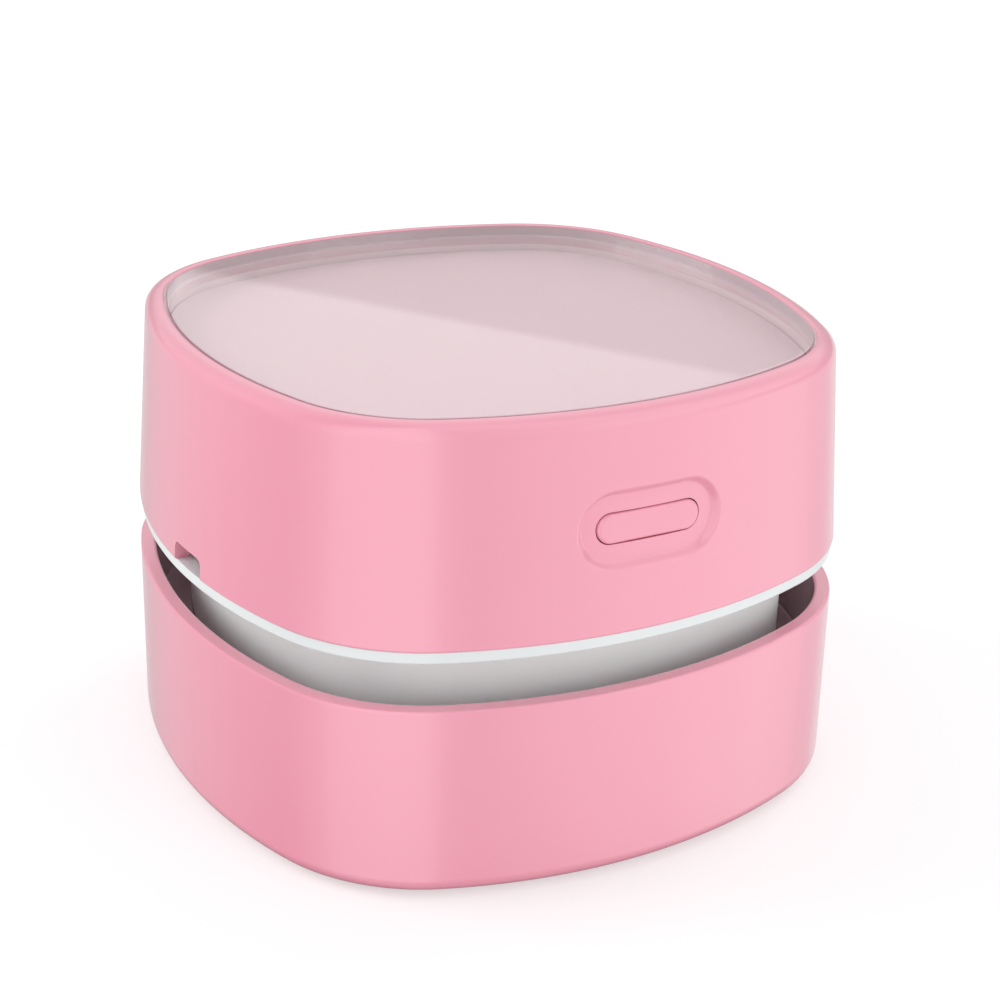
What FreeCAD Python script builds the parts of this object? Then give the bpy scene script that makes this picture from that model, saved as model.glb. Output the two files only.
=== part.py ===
"""Desktop mini vacuum cleaner: a square-round dust bin with a lift-off motor head."""
import FreeCAD, Part
import Sketcher
import math
import os

V = FreeCAD.Vector
UP = V(0, 0, 1)

doc = FreeCAD.newDocument("desk_vacuum")
sheet = doc.addObject("Spreadsheet::Sheet", "Dims")

# Driving sizes in millimetres. The floor is at height 0, the button faces -Y, the port -X.
SIZES = {
    # plan outline, four shallow side arcs joined by four corner arcs
    "half_width": 43.0, "side_radius": 70.5, "corner_radius": 24.0,
    # heights
    "floor_gap": 0.6, "rim_level": 25.0, "waist_gap": 5.8, "band_height": 1.5, "head_height": 26.2,
    # dust bin
    "wall": 2.0, "bin_bulge": 0.2, "bin_flare": 0.25, "bin_round": 2.0, "rim_round": 0.4,
    "shelf_level": 15.0, "shelf_thickness": 1.5, "shelf_reach": 7.0,
    "plate_recess": 2.0, "plate_border": 5.3, "lip_thickness": 2.0, "lip_reach": 9.5,
    # base plate, inlet and brush
    "plate_inset": 0.3, "plate_gap": 0.3, "inlet_radius": 10.5, "inlet_wall": 1.5, "inlet_room": 5.0,
    "brush_inner": 13.0, "brush_outer": 18.0, "channel_top": 4.0, "channel_wall": 1.2,
    "brush_strip": 1.2, "tuft_radius": 0.7, "tuft_count": 28.0, "tuft_lift": 0.3,
    "pad_radius": 3.5, "pad_margin": 4.2,
    # screws
    "screw_radius": 1.0, "screw_head": 1.8, "screw_head_height": 0.9, "screw_slack": 0.1, "boss_wall": 1.6,
    "base_screw_inset": 3.2, "base_screw_length": 6.0, "recess_half": 0.35, "recess_reach": 1.2,
    "recess_depth": 0.5,
    # head casing
    "head_draft": 2.0, "head_round": 2.0, "panel_rim": 2.4, "panel_gap": 0.2, "panel_thickness": 1.5,
    "panel_round": 0.25, "well_shelf": 1.3, "well_upper": 0.5, "well_step": 0.5, "well_wall": 1.0,
    "plate_depth": 3.0, "plate_thickness": 1.5, "plate_ledge": 1.5, "band_inset": 0.25, "band_round": 0.3,
    "chassis_inset": 2.3, "chassis_boss": 10.0, "chassis_screw": 8.0, "boss_relief": 0.2,
    # charging port
    "port_place": 5.5, "port_width": 7.3, "port_height": 2.6, "port_round": 1.0, "port_margin": 0.3,
    # neck and deck
    "neck_setback": 6.2, "neck_wall": 2.0, "slip_gap": 0.4, "lip_height": 2.4, "lip_wall": 1.6,
    "seal_height": 0.8, "seal_inset": 0.2, "cove": 1.6, "slot_width": 2.4, "slot_pitch": 5.0,
    "slot_count": 9.0, "slot_foot": 0.7, "slot_margin": 3.0,
    # fan
    "cover_rise": 1.6, "cover_thickness": 1.5, "cover_gap": 0.3, "cover_screw_inset": 2.0,
    "cover_screw": 7.0, "eye_radius": 12.5, "spigot_radius": 26.1, "spigot_wall": 1.5, "spigot_height": 2.8,
    "fan_radius": 21.0, "fan_gap": 1.0, "fan_headroom": 2.2, "fan_disc": 1.2, "blade_start": 7.0,
    "blade_skew": 3.2, "blade_thickness": 1.0, "blade_count": 11.0, "hub_radius": 4.0, "hub_rise": 0.6,
    # filter
    "filter_fit": 0.2, "filter_wall": 1.8, "filter_drop": 4.8, "filter_lip": 3.7, "filter_floor": 1.2,
    "filter_bar": 1.6, "filter_felt": 0.7, "filter_head_gap": 0.15, "tab_half": 4.0, "tab_height": 1.4,
    # motor
    "motor_radius": 12.0, "motor_headroom": 3.4, "can_wall": 0.8, "can_floor": 1.0, "nose_radius": 3.8,
    "nose_gap": 0.2, "bush_radius": 2.8, "shaft_radius": 1.0, "run_gap": 0.05, "press_gap": 0.01,
    "shaft_tip": 1.5, "end_cap": 1.6, "rear_boss": 3.6, "rear_boss_height": 1.2, "magnet_thickness": 2.1,
    "magnet_slot": 6.0, "magnet_margin": 1.2, "air_gap": 0.5, "commutator_radius": 3.0,
    "commutator_height": 1.6, "motor_screw_place": 8.0, "motor_screw_radius": 0.9, "motor_screw_head": 1.6,
    "terminal_place": 6.5, "terminal_height": 1.7,
    # battery
    "cell_radius": 7.0, "cell_boss_gap": 1.65, "cell_wall_gap": 0.5, "cell_gap": 0.05,
    "cradle_floor": 1.0, "cradle_margin": 3.0, "cradle_half": 8.6, "cradle_height": 4.4,
    "nub_radius": 2.5, "nub_length": 0.8,
    # electronics
    "board_motor_gap": 3.0, "board_port_reach": 10.0, "board_width": 21.0,
    "board_thickness": 1.2, "board_lift": 0.9, "standoff_radius": 2.0, "board_screw_inset": 3.2,
    "chip_gap": 3.8, "chip_screw_gap": 6.8, "chip_width": 3.2, "chip_pitch": 5.2, "chip_height": 1.2,
    "chip_step": 0.35, "socket_setback": 0.6, "socket_overhang": 4.0, "socket_lift": 0.1,
    "socket_length": 5.8, "socket_width": 7.5, "socket_height": 2.4, "socket_shell": 0.35,
    "socket_slack": 0.1, "tongue_thickness": 0.6, "tongue_half": 1.9, "socket_back": 0.9,
    # button and switch
    "button_drop": 13.7, "button_length": 13.8, "button_height": 3.8, "button_gap": 0.15,
    "dish_length": 19.2, "dish_height": 9.3, "dish_depth": 0.9, "dish_round": 0.5, "button_proud": 0.15,
    "button_round": 0.15, "flange_setback": 0.7, "flange_margin": 1.2, "flange_thickness": 1.0,
    "stem_radius": 2.2,
    "stem_length": 1.8, "plunger_radius": 1.7, "plunger_length": 3.2, "plunger_gap": 0.1,
    "switch_size": 6.2, "switch_depth": 3.8, "switch_reach": 2.0, "switch_bore": 2.9,
    "switch_board_half": 8.0, "switch_board_margin": 4.5,
    # wires
    "wire_radius": 0.55, "wire_grid": 0.2,
}
for row, (alias, number) in enumerate(SIZES.items(), 1):
    sheet.set(f"A{row}", alias)
    sheet.set(f"B{row}", str(number))
    sheet.setAlias(f"B{row}", alias)
doc.recompute()

# Heights and half widths worked out from the driving sizes
LIP_BOTTOM = "(Dims.floor_gap + Dims.plate_recess)"
LIP_TOP = f"({LIP_BOTTOM} + Dims.lip_thickness)"
PLATE_BOTTOM = "(Dims.floor_gap + Dims.plate_gap)"
BAND_BOTTOM = "(Dims.rim_level + Dims.waist_gap)"
DECK_TOP = f"({BAND_BOTTOM} + Dims.band_height)"
TOP = f"({DECK_TOP} + Dims.head_height)"
BIN_RIM = "(Dims.half_width + Dims.bin_bulge)"
BIN_FOOT = f"({BIN_RIM} + Dims.bin_flare)"
BIN_INSIDE = f"({BIN_RIM} - Dims.wall)"
RECESS = f"({BIN_FOOT} - Dims.plate_border)"
HEAD_TOP = "(Dims.half_width - Dims.head_draft)"
PANEL_SEAT = f"({HEAD_TOP} - Dims.panel_rim)"
PANEL_LEVEL = f"({TOP} - Dims.panel_thickness)"
WELL_UPPER = f"({PANEL_SEAT} - Dims.well_shelf)"
WELL_LOWER = f"({WELL_UPPER} - Dims.well_step)"
WELL_MID = f"({PANEL_LEVEL} - Dims.well_upper)"
DECK_PLATE_BOTTOM = f"({TOP} - Dims.plate_depth - Dims.plate_thickness)"
DECK_OPENING = f"({WELL_LOWER} - Dims.plate_ledge)"
CEILING = f"({DECK_PLATE_BOTTOM} - Dims.plate_ledge)"
HEAD_TAPER = "atan(Dims.head_draft / Dims.head_height)"
NECK = "(Dims.half_width - Dims.neck_setback)"
NECK_INSIDE = f"({NECK} - Dims.neck_wall)"
NECK_BOTTOM = "(Dims.shelf_level + Dims.seal_height)"
DECK = "(Dims.half_width - Dims.wall - Dims.slip_gap)"
COVER_LEVEL = f"({NECK_BOTTOM} + Dims.cover_rise)"
COVER_TOP = f"({COVER_LEVEL} + Dims.cover_thickness)"
SLOT_BOTTOM = f"({COVER_TOP} + Dims.slot_foot)"
SLOT_TOP = f"({BAND_BOTTOM} - Dims.slot_margin)"
FILTER_LEVEL = f"({COVER_LEVEL} - Dims.filter_drop)"
INLET_TOP = f"({FILTER_LEVEL} - Dims.inlet_room)"
FILTER_INSIDE = "(Dims.spigot_radius + Dims.filter_fit)"
FILTER_OUTSIDE = f"({FILTER_INSIDE} + Dims.filter_wall)"
FAN_BOTTOM = f"({COVER_TOP} + Dims.fan_gap)"
FAN_TOP = f"({BAND_BOTTOM} - Dims.fan_headroom)"
SHAFT_BOTTOM = f"({FAN_BOTTOM} + Dims.shaft_tip)"
CAP_TOP = f"({DECK_PLATE_BOTTOM} - Dims.motor_headroom - Dims.terminal_height)"
CAN_TOP = f"({CAP_TOP} - Dims.end_cap)"
CAN_LENGTH = f"({CAN_TOP} - {DECK_TOP})"
MAGNET_INSIDE = "(Dims.motor_radius - Dims.can_wall - Dims.magnet_thickness)"
MAGNET_BOTTOM = f"({DECK_TOP} + Dims.can_floor + Dims.magnet_margin)"
MAGNET_HEIGHT = f"({CAN_LENGTH} - Dims.can_floor - 2 * Dims.magnet_margin)"
SHAFT_BORE = "(Dims.shaft_radius + Dims.run_gap)"
SHAFT_GRIP = "(Dims.shaft_radius + Dims.press_gap)"
SCREW_HOLE = "(Dims.screw_radius + Dims.screw_slack)"
BOSS = "(Dims.screw_radius + Dims.boss_wall)"
BOARD_BOTTOM = f"({DECK_TOP} + Dims.board_lift)"
BOARD_TOP = f"({BOARD_BOTTOM} + Dims.board_thickness)"
CELL_AXIS = f"({DECK_TOP} + Dims.cradle_floor + Dims.cell_radius)"
BUTTON_LEVEL = f"({TOP} - Dims.button_drop)"
CASING_FACE = f"({HEAD_TOP} + Dims.head_draft * Dims.button_drop / Dims.head_height)"
DISH_FACE = f"({CASING_FACE} - Dims.dish_depth)"
BUTTON_FACE = f"({DISH_FACE} + Dims.button_proud)"
FLANGE_FACE = f"({CASING_FACE} - Dims.wall - Dims.flange_setback)"
STEM_FACE = f"({FLANGE_FACE} - Dims.flange_thickness)"
PLUNGER_FACE = f"({STEM_FACE} - Dims.stem_length)"
SWITCH_FACE = f"({PLUNGER_FACE} - Dims.switch_reach)"
SWITCH_BACK = f"({SWITCH_FACE} - Dims.switch_depth)"

# The plan outline: how far out the side arcs' centres lie, and the corner arcs' centres along each axis
AWAY = "(Dims.side_radius - Dims.half_width)"
SPREAD = "(Dims.side_radius - Dims.corner_radius)"
NEAR = f"((sqrt(2 * {SPREAD} ^ 2 - {AWAY} ^ 2) - {AWAY}) / 2)"


def corner_place(half, inset):
    """Each coordinate of a point on the plan's diagonal, an inset inside an outline's corner."""
    return f"({NEAR} + (Dims.corner_radius - Dims.half_width + {half} - {inset}) / sqrt(2))"


BASE_SCREW = corner_place(RECESS, "Dims.base_screw_inset")
COVER_SCREW = corner_place(NECK_INSIDE, "Dims.cover_screw_inset")
CHASSIS_SCREW = corner_place("(Dims.half_width - Dims.wall)", "Dims.chassis_inset")
PAD_PLACE = f"({RECESS} - Dims.plate_inset - Dims.pad_margin - Dims.pad_radius)"

# The cell lies between two screw bosses, midway between the motor and the casing's corners
CELL_END = f"({CHASSIS_SCREW} - {BOSS} - Dims.cell_boss_gap)"
CELL_HALF = f"({CELL_END} - Dims.nub_length)"
CORNER_ROOM = "(Dims.corner_radius - Dims.wall - Dims.cell_wall_gap)"
CELL_LIMIT = f"({NEAR} + sqrt({CORNER_ROOM} ^ 2 - ({CELL_END} - {NEAR}) ^ 2) - Dims.cell_radius)"
CELL_PLACE = f"((Dims.motor_radius + Dims.cradle_half + {CELL_LIMIT}) / 2)"
CRADLE_HALF_LENGTH = f"({CELL_HALF} - Dims.cradle_margin)"

# The charging board lies between the port and the motor
SOCKET_FRONT = f"(Dims.socket_setback - {DECK})"
SOCKET_BACK = f"({SOCKET_FRONT} + Dims.socket_length)"
SOCKET_BOTTOM = f"({DECK_TOP} + Dims.socket_lift)"
BOARD_LEFT = f"({SOCKET_FRONT} + Dims.socket_overhang)"
BOARD_RIGHT = "(-Dims.motor_radius - Dims.board_motor_gap)"
BOARD_FRONT = "(-Dims.port_place - Dims.board_port_reach)"
BOARD_BACK = f"({BOARD_FRONT} + Dims.board_width)"
TINY = 1e-4


def value(expression):
    """The number that an expression on the sheet gives."""
    number = sheet.evalExpression(expression)
    return float(getattr(number, "Value", number))


def body(label):
    made = doc.addObject("PartDesign::Body", label)
    made.Label = label
    return made


def origin_part(owner, role):
    return [part for part in owner.Origin.OriginFeatures if part.Role == role][0]


def sketch(owner, height, role="XY_Plane"):
    """A sketch on one of the body's origin planes, raised along the plane's normal."""
    made = owner.newObject("Sketcher::SketchObject", owner.Name + "_sketch")
    made.AttachmentSupport = [(origin_part(owner, role), "")]
    made.MapMode = "FlatFace"
    made.setExpression("AttachmentOffset.Base.z", height)
    return made


def limit(made, kind, *geometry, expression):
    """One driving constraint, bound to an expression."""
    index = made.addConstraint(Sketcher.Constraint(kind, *geometry, value(expression)))
    made.setExpression(f"Constraints[{index}]", expression)


def outline(made, half):
    """The square-round outline of a given half width: an offset of the casing's outline."""
    first = made.GeometryCount
    side = f"Dims.side_radius - Dims.half_width + {half}"
    corner = f"Dims.corner_radius - Dims.half_width + {half}"
    away = value(AWAY)
    near = value(NEAR)
    meet = math.atan2(near, near + away)
    arcs = []
    for quarter in range(4):
        turn = quarter * math.pi / 2
        along = V(math.cos(turn), math.sin(turn), 0)
        across = V(-along.y, along.x, 0)
        circle_of_side = Part.Circle(along * -away, UP, value(side))
        arcs.append(Part.ArcOfCircle(circle_of_side, turn - meet, turn + meet))
        circle_of_corner = Part.Circle((along + across) * near, UP, value(corner))
        arcs.append(Part.ArcOfCircle(circle_of_corner, turn + meet, turn + math.pi / 2 - meet))
    made.addGeometry(arcs, False)
    ties = [Sketcher.Constraint("Tangent", first + i, 2, first + (i + 1) % 8, 1) for i in range(8)]
    ties += [Sketcher.Constraint("Equal", first, first + i) for i in (2, 4, 6)]
    ties += [Sketcher.Constraint("Equal", first + 1, first + i) for i in (3, 5, 7)]
    ties += [Sketcher.Constraint("PointOnObject", first + i, 3, -1) for i in (0, 4)]
    ties += [Sketcher.Constraint("PointOnObject", first + i, 3, -2) for i in (2, 6)]
    made.addConstraint(ties)
    limit(made, "Radius", first, expression=side)
    limit(made, "Radius", first + 1, expression=corner)
    limit(made, "DistanceX", -1, 1, first, 3, expression=f"-{AWAY}")
    limit(made, "DistanceX", -1, 1, first + 4, 3, expression=AWAY)
    limit(made, "DistanceY", -1, 1, first + 2, 3, expression=f"-{AWAY}")
    limit(made, "DistanceY", -1, 1, first + 6, 3, expression=AWAY)


def circle(made, radius, x="0", y="0"):
    centre = V(value(x), value(y), 0)
    index = made.addGeometry(Part.Circle(centre, UP, value(radius)), False)
    limit(made, "Radius", index, expression=radius)
    limit(made, "DistanceX", -1, 1, index, 3, expression=x)
    limit(made, "DistanceY", -1, 1, index, 3, expression=y)


def rectangle(made, left, right, low, high):
    first = made.GeometryCount
    places = ((left, low), (right, low), (right, high), (left, high))
    corners = [V(value(x), value(y), 0) for x, y in places]
    for i in range(4):
        made.addGeometry(Part.LineSegment(corners[i], corners[(i + 1) % 4]), False)
    ties = [Sketcher.Constraint("Coincident", first + i, 2, first + (i + 1) % 4, 1) for i in range(4)]
    ties += [Sketcher.Constraint("Horizontal", first + i) for i in (0, 2)]
    ties += [Sketcher.Constraint("Vertical", first + i) for i in (1, 3)]
    made.addConstraint(ties)
    limit(made, "DistanceX", -1, 1, first, 1, expression=left)
    limit(made, "DistanceX", -1, 1, first, 2, expression=right)
    limit(made, "DistanceY", -1, 1, first, 1, expression=low)
    limit(made, "DistanceY", -1, 1, first + 2, 1, expression=high)


def pill(made, length, height, level):
    """A slot shape with round ends, centred on the sketch's upright axis."""
    first = made.GeometryCount
    reach = (value(length) - value(height)) / 2
    radius = value(height) / 2
    middle = value(level)
    right = Part.Circle(V(reach, middle, 0), UP, radius)
    left = Part.Circle(V(-reach, middle, 0), UP, radius)
    made.addGeometry(Part.ArcOfCircle(right, -math.pi / 2, math.pi / 2), False)
    top = (V(reach, middle + radius, 0), V(-reach, middle + radius, 0))
    made.addGeometry(Part.LineSegment(*top), False)
    made.addGeometry(Part.ArcOfCircle(left, math.pi / 2, 3 * math.pi / 2), False)
    bottom = (V(-reach, middle - radius, 0), V(reach, middle - radius, 0))
    made.addGeometry(Part.LineSegment(*bottom), False)
    ties = [Sketcher.Constraint("Tangent", first + i, 2, first + (i + 1) % 4, 1) for i in range(4)]
    made.addConstraint(ties + [Sketcher.Constraint("Equal", first, first + 2)])
    limit(made, "Radius", first, expression=f"({height}) / 2")
    limit(made, "DistanceX", -1, 1, first, 3, expression=f"({length} - {height}) / 2")
    limit(made, "DistanceX", -1, 1, first + 2, 3, expression=f"-({length} - {height}) / 2")
    limit(made, "DistanceY", -1, 1, first, 3, expression=level)


def pad(owner, profile, length, taper=None, back=False):
    made = owner.newObject("PartDesign::Pad", owner.Name + "_pad")
    made.Profile = profile
    made.setExpression("Length", length)
    made.Reversed = back
    if taper:
        made.setExpression("TaperAngle", taper)
    owner.Tip = made
    return made


def pocket(owner, profile, length, taper=None, forward=False):
    """A cut against the sketch's normal, or along it when forward is set."""
    before = owner.Tip.Shape.Volume if not owner.Tip.Shape.isNull() else 0
    made = owner.newObject("PartDesign::Pocket", owner.Name + "_pocket")
    made.Profile = profile
    made.setExpression("Length", length)
    made.Reversed = forward
    if taper:
        made.setExpression("TaperAngle", taper)
    owner.Tip = made
    doc.recompute()
    if not made.Shape.Volume < before:
        raise RuntimeError(f"{owner.Label}: a pocket cut nothing")
    return made


def around(owner, feature, count):
    """Repeats a feature about the upright axis."""
    made = owner.newObject("PartDesign::PolarPattern", owner.Name + "_around")
    made.Originals = [feature]
    made.Axis = (origin_part(owner, "Z_Axis"), [""])
    made.Angle = 360
    made.setExpression("Occurrences", count)
    owner.Tip = made
    doc.recompute()
    return made


def soften(owner, feature, radius, test):
    """A fillet on the edges of a feature that pass a test."""
    doc.recompute()
    names = [f"Edge{i}" for i, edge in enumerate(feature.Shape.Edges, 1) if test(edge)]
    made = owner.newObject("PartDesign::Fillet", owner.Name + "_round")
    made.Base = (feature, names)
    made.setExpression("Radius", radius)
    owner.Tip = made
    doc.recompute()
    return made


def flat_at(height):
    """Tests for an edge that lies level at a height."""
    level = value(height)
    return lambda edge: abs(edge.BoundBox.ZMin - level) < TINY and abs(edge.BoundBox.ZMax - level) < TINY


def along_outline(height, half):
    """Tests for a level edge that follows the outline of a half width."""
    level = flat_at(height)
    offset = value(f"{half} - Dims.half_width")
    radii = [value(name) + offset for name in ("Dims.side_radius", "Dims.corner_radius")]
    return lambda edge: level(edge) and min(abs(edge.Curve.Radius - radius) for radius in radii) < TINY


def on_front(face):
    """Tests for an edge that lies in an upright plane at a distance in front of the middle."""
    place = -value(face)
    return lambda edge: abs(edge.BoundBox.YMin - place) < TINY and abs(edge.BoundBox.YMax - place) < TINY


def ring(owner, height, outside, inside, length):
    """A square-round frame of a given height."""
    made = sketch(owner, height)
    outline(made, outside)
    outline(made, inside)
    return pad(owner, made, length)


def disc(owner, height, radius, length, x="0", y="0", hole=None):
    made = sketch(owner, height)
    circle(made, radius, x, y)
    if hole:
        circle(made, hole, x, y)
    return pad(owner, made, length)


def bore(owner, height, radius, length, x="0", y="0", forward=False):
    made = sketch(owner, height)
    circle(made, radius, x, y)
    return pocket(owner, made, length, forward=forward)


def lower_shell():
    """The dust bin: a drafted bowl with an inner shelf, a bottom lip and four screw bosses."""
    part = body("lower_shell")
    foot = sketch(part, "Dims.floor_gap")
    outline(foot, BIN_FOOT)
    height = "(Dims.rim_level - Dims.floor_gap)"
    outer = pad(part, foot, height, taper=f"-atan(Dims.bin_flare / {height})")
    soften(part, outer, "Dims.bin_round", flat_at("Dims.floor_gap"))
    steps = (
        ("Dims.rim_level", BIN_INSIDE, "Dims.rim_level - Dims.shelf_level"),
        ("Dims.shelf_level", f"({BIN_INSIDE} - Dims.shelf_reach)", "Dims.shelf_thickness"),
        ("(Dims.shelf_level - Dims.shelf_thickness)", f"({BIN_FOOT} - Dims.wall)",
         f"Dims.shelf_level - Dims.shelf_thickness - {LIP_TOP}"),
        (LIP_TOP, f"({BIN_INSIDE} - Dims.lip_reach)", "Dims.lip_thickness"),
        (LIP_BOTTOM, RECESS, "Dims.plate_recess"),
    )
    for level, half, depth in steps:
        cut = sketch(part, level)
        outline(cut, half)
        hollow = pocket(part, cut, depth)
    soften(part, hollow, "Dims.rim_round", flat_at("Dims.rim_level"))
    place = (BASE_SCREW, BASE_SCREW)
    around(part, disc(part, LIP_TOP, BOSS, "Dims.base_screw_length - Dims.lip_thickness", *place), "4")
    around(part, bore(part, LIP_BOTTOM, SCREW_HOLE, "Dims.base_screw_length", *place, forward=True), "4")
    return part


def base_plate():
    """The plate under the bin, with the inlet duct and the brush channel."""
    part = body("base_plate")
    under = sketch(part, PLATE_BOTTOM)
    outline(under, f"({RECESS} - Dims.plate_inset)")
    pad(part, under, f"{LIP_BOTTOM} - {PLATE_BOTTOM}")
    hat_top = "(Dims.channel_top + Dims.channel_wall)"
    disc(part, LIP_BOTTOM, "(Dims.brush_outer + Dims.channel_wall)", f"{hat_top} - {LIP_BOTTOM}")
    disc(part, hat_top, "(Dims.inlet_radius + Dims.inlet_wall)", f"{INLET_TOP} - {hat_top}")
    doc.recompute()
    bore(part, INLET_TOP, "Dims.inlet_radius", f"{INLET_TOP} - {PLATE_BOTTOM}")
    channel = sketch(part, "Dims.channel_top")
    circle(channel, "Dims.brush_outer")
    circle(channel, "Dims.brush_inner")
    pocket(part, channel, f"Dims.channel_top - {PLATE_BOTTOM}")
    place = (BASE_SCREW, BASE_SCREW)
    around(part, bore(part, LIP_BOTTOM, SCREW_HOLE, f"{LIP_BOTTOM} - {PLATE_BOTTOM}", *place), "4")
    head = "(Dims.screw_head + Dims.screw_slack)"
    around(part, bore(part, PLATE_BOTTOM, head, "Dims.screw_head_height", *place, forward=True), "4")
    return part


def screws(label, place_x, place_y, seat, length, count, head="Dims.screw_head", shank="Dims.screw_radius"):
    """Cross-head screws driven upwards, their heads hanging under the seat."""
    part = body(label)
    part.AllowCompound = True
    bottom = f"({seat} - Dims.screw_head_height)"
    disc(part, bottom, head, "Dims.screw_head_height", place_x, place_y)
    disc(part, seat, shank, length, place_x, place_y)
    doc.recompute()
    for turned in (False, True):
        cross = sketch(part, bottom)
        wide, narrow = ("Dims.recess_reach", "Dims.recess_half")
        if turned:
            wide, narrow = narrow, wide
        across = (f"{place_x} - {wide}", f"{place_x} + {wide}")
        rectangle(cross, *across, f"{place_y} - {narrow}", f"{place_y} + {narrow}")
        pocket(part, cross, "Dims.recess_depth", forward=True)
    features = [item for item in part.Group if item.TypeId in ("PartDesign::Pad", "PartDesign::Pocket")]
    pattern = around(part, features[0], count)
    pattern.Originals = features
    part.Tip = pattern
    doc.recompute()
    if len(pattern.Shape.Solids) != int(value(count)):
        raise RuntimeError(f"{label}: {len(pattern.Shape.Solids)} solids")
    return part


def brush():
    """The bristle ring in its channel: a flat strip and a circle of tufts."""
    strip = body("brush_strip")
    slack = "Dims.screw_slack"
    bottom = "(Dims.channel_top - Dims.brush_strip)"
    hole = f"(Dims.brush_inner + {slack})"
    disc(strip, bottom, f"(Dims.brush_outer - {slack})", "Dims.brush_strip", hole=hole)
    tufts = body("bristle_tufts")
    tufts.AllowCompound = True
    middle = "(Dims.brush_inner + Dims.brush_outer) / 2"
    tuft = disc(tufts, "Dims.tuft_lift", "Dims.tuft_radius", f"{bottom} - Dims.tuft_lift", middle)
    doc.recompute()
    around(tufts, tuft, "Dims.tuft_count")
    return strip, tufts


def glide_pads():
    """Four soft discs under the base plate, which the cleaner slides on."""
    part = body("glide_pads")
    part.AllowCompound = True
    foot = disc(part, "0", "Dims.pad_radius", PLATE_BOTTOM, PAD_PLACE)
    doc.recompute()
    around(part, foot, "4")
    return part


def upper_shell():
    """The head's casing: drafted walls, a well for the clear panel, a port notch and a button dish."""
    part = body("upper_shell")
    foot = sketch(part, DECK_TOP)
    outline(foot, "Dims.half_width")
    outer = pad(part, foot, "Dims.head_height", taper=f"-{HEAD_TAPER}")
    soften(part, outer, "Dims.head_round", flat_at(TOP))
    steps = (
        (TOP, PANEL_SEAT, "Dims.panel_thickness"),
        (PANEL_LEVEL, WELL_UPPER, "Dims.well_upper"),
        (WELL_MID, WELL_LOWER, f"{WELL_MID} - {DECK_PLATE_BOTTOM}"),
        (DECK_PLATE_BOTTOM, DECK_OPENING, f"{DECK_PLATE_BOTTOM} - {CEILING}"),
    )
    for level, half, depth in steps:
        cut = sketch(part, level)
        outline(cut, half)
        pocket(part, cut, depth)
    inside = sketch(part, DECK_TOP)
    outline(inside, "(Dims.half_width - Dims.wall)")
    pocket(part, inside, f"{CEILING} - {DECK_TOP}", taper=f"-{HEAD_TAPER}", forward=True)
    relief = sketch(part, CEILING)
    outline(relief, f"({HEAD_TOP} - Dims.wall)")
    outline(relief, f"({WELL_LOWER} + Dims.well_wall)")
    pocket(part, relief, f"{WELL_MID} - Dims.well_step - {CEILING}", forward=True)
    place = (CHASSIS_SCREW, CHASSIS_SCREW)
    around(part, disc(part, DECK_TOP, BOSS, "Dims.chassis_boss", *place), "4")
    around(part, bore(part, DECK_TOP, SCREW_HOLE, "Dims.chassis_screw", *place, forward=True), "4")
    port_notch(part)
    button_dish(part)
    return part


def port_notch(part):
    """The charging port's notch, open at the casing's bottom edge."""
    beyond = "Dims.wall"
    notch = sketch(part, "-(Dims.half_width - 2 * Dims.wall)", "YZ_Plane")
    left = "-(Dims.port_place + Dims.port_width / 2)"
    right = "-(Dims.port_place - Dims.port_width / 2)"
    roof = f"({DECK_TOP} + Dims.port_height)"
    rectangle(notch, left, right, f"{DECK_TOP} - {beyond}", roof)
    cut = pocket(part, notch, f"2 * Dims.wall + {beyond}")
    level = flat_at(roof)
    soften(part, cut, "Dims.port_round", lambda edge: level(edge) and edge.BoundBox.YLength < TINY)


def button_dish(part):
    """The shallow dish round the button, and the button's hole through the wall."""
    dish = sketch(part, DISH_FACE, "XZ_Plane")
    pill(dish, "Dims.dish_length", "Dims.dish_height", BUTTON_LEVEL)
    cut = pocket(part, dish, "2 * Dims.wall", forward=True)
    soften(part, cut, "Dims.dish_round", on_front(DISH_FACE))
    hole = sketch(part, DISH_FACE, "XZ_Plane")
    clear = "2 * Dims.button_gap"
    pill(hole, f"(Dims.button_length + {clear})", f"(Dims.button_height + {clear})", BUTTON_LEVEL)
    pocket(part, hole, "2 * Dims.wall")


def clear_panel():
    """The clear top panel, let in flush with the casing's rim."""
    part = body("clear_panel")
    face = sketch(part, PANEL_LEVEL)
    outline(face, f"({PANEL_SEAT} - Dims.panel_gap)")
    sheet_of = pad(part, face, "Dims.panel_thickness")
    soften(part, sheet_of, "Dims.panel_round", flat_at(TOP))
    return part


def deck_plate():
    """The pale plate under the clear panel."""
    part = body("deck_plate")
    face = sketch(part, DECK_PLATE_BOTTOM)
    outline(face, f"({WELL_LOWER} - Dims.panel_gap)")
    pad(part, face, "Dims.plate_thickness")
    return part


def trim_band():
    """The pale band between the casing and the waist."""
    part = body("trim_band")
    outside = "(Dims.half_width - Dims.band_inset)"
    band = ring(part, BAND_BOTTOM, outside, f"({DECK} + Dims.screw_slack)", "Dims.band_height")
    soften(part, band, "Dims.band_round", along_outline(BAND_BOTTOM, outside))
    return part


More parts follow.
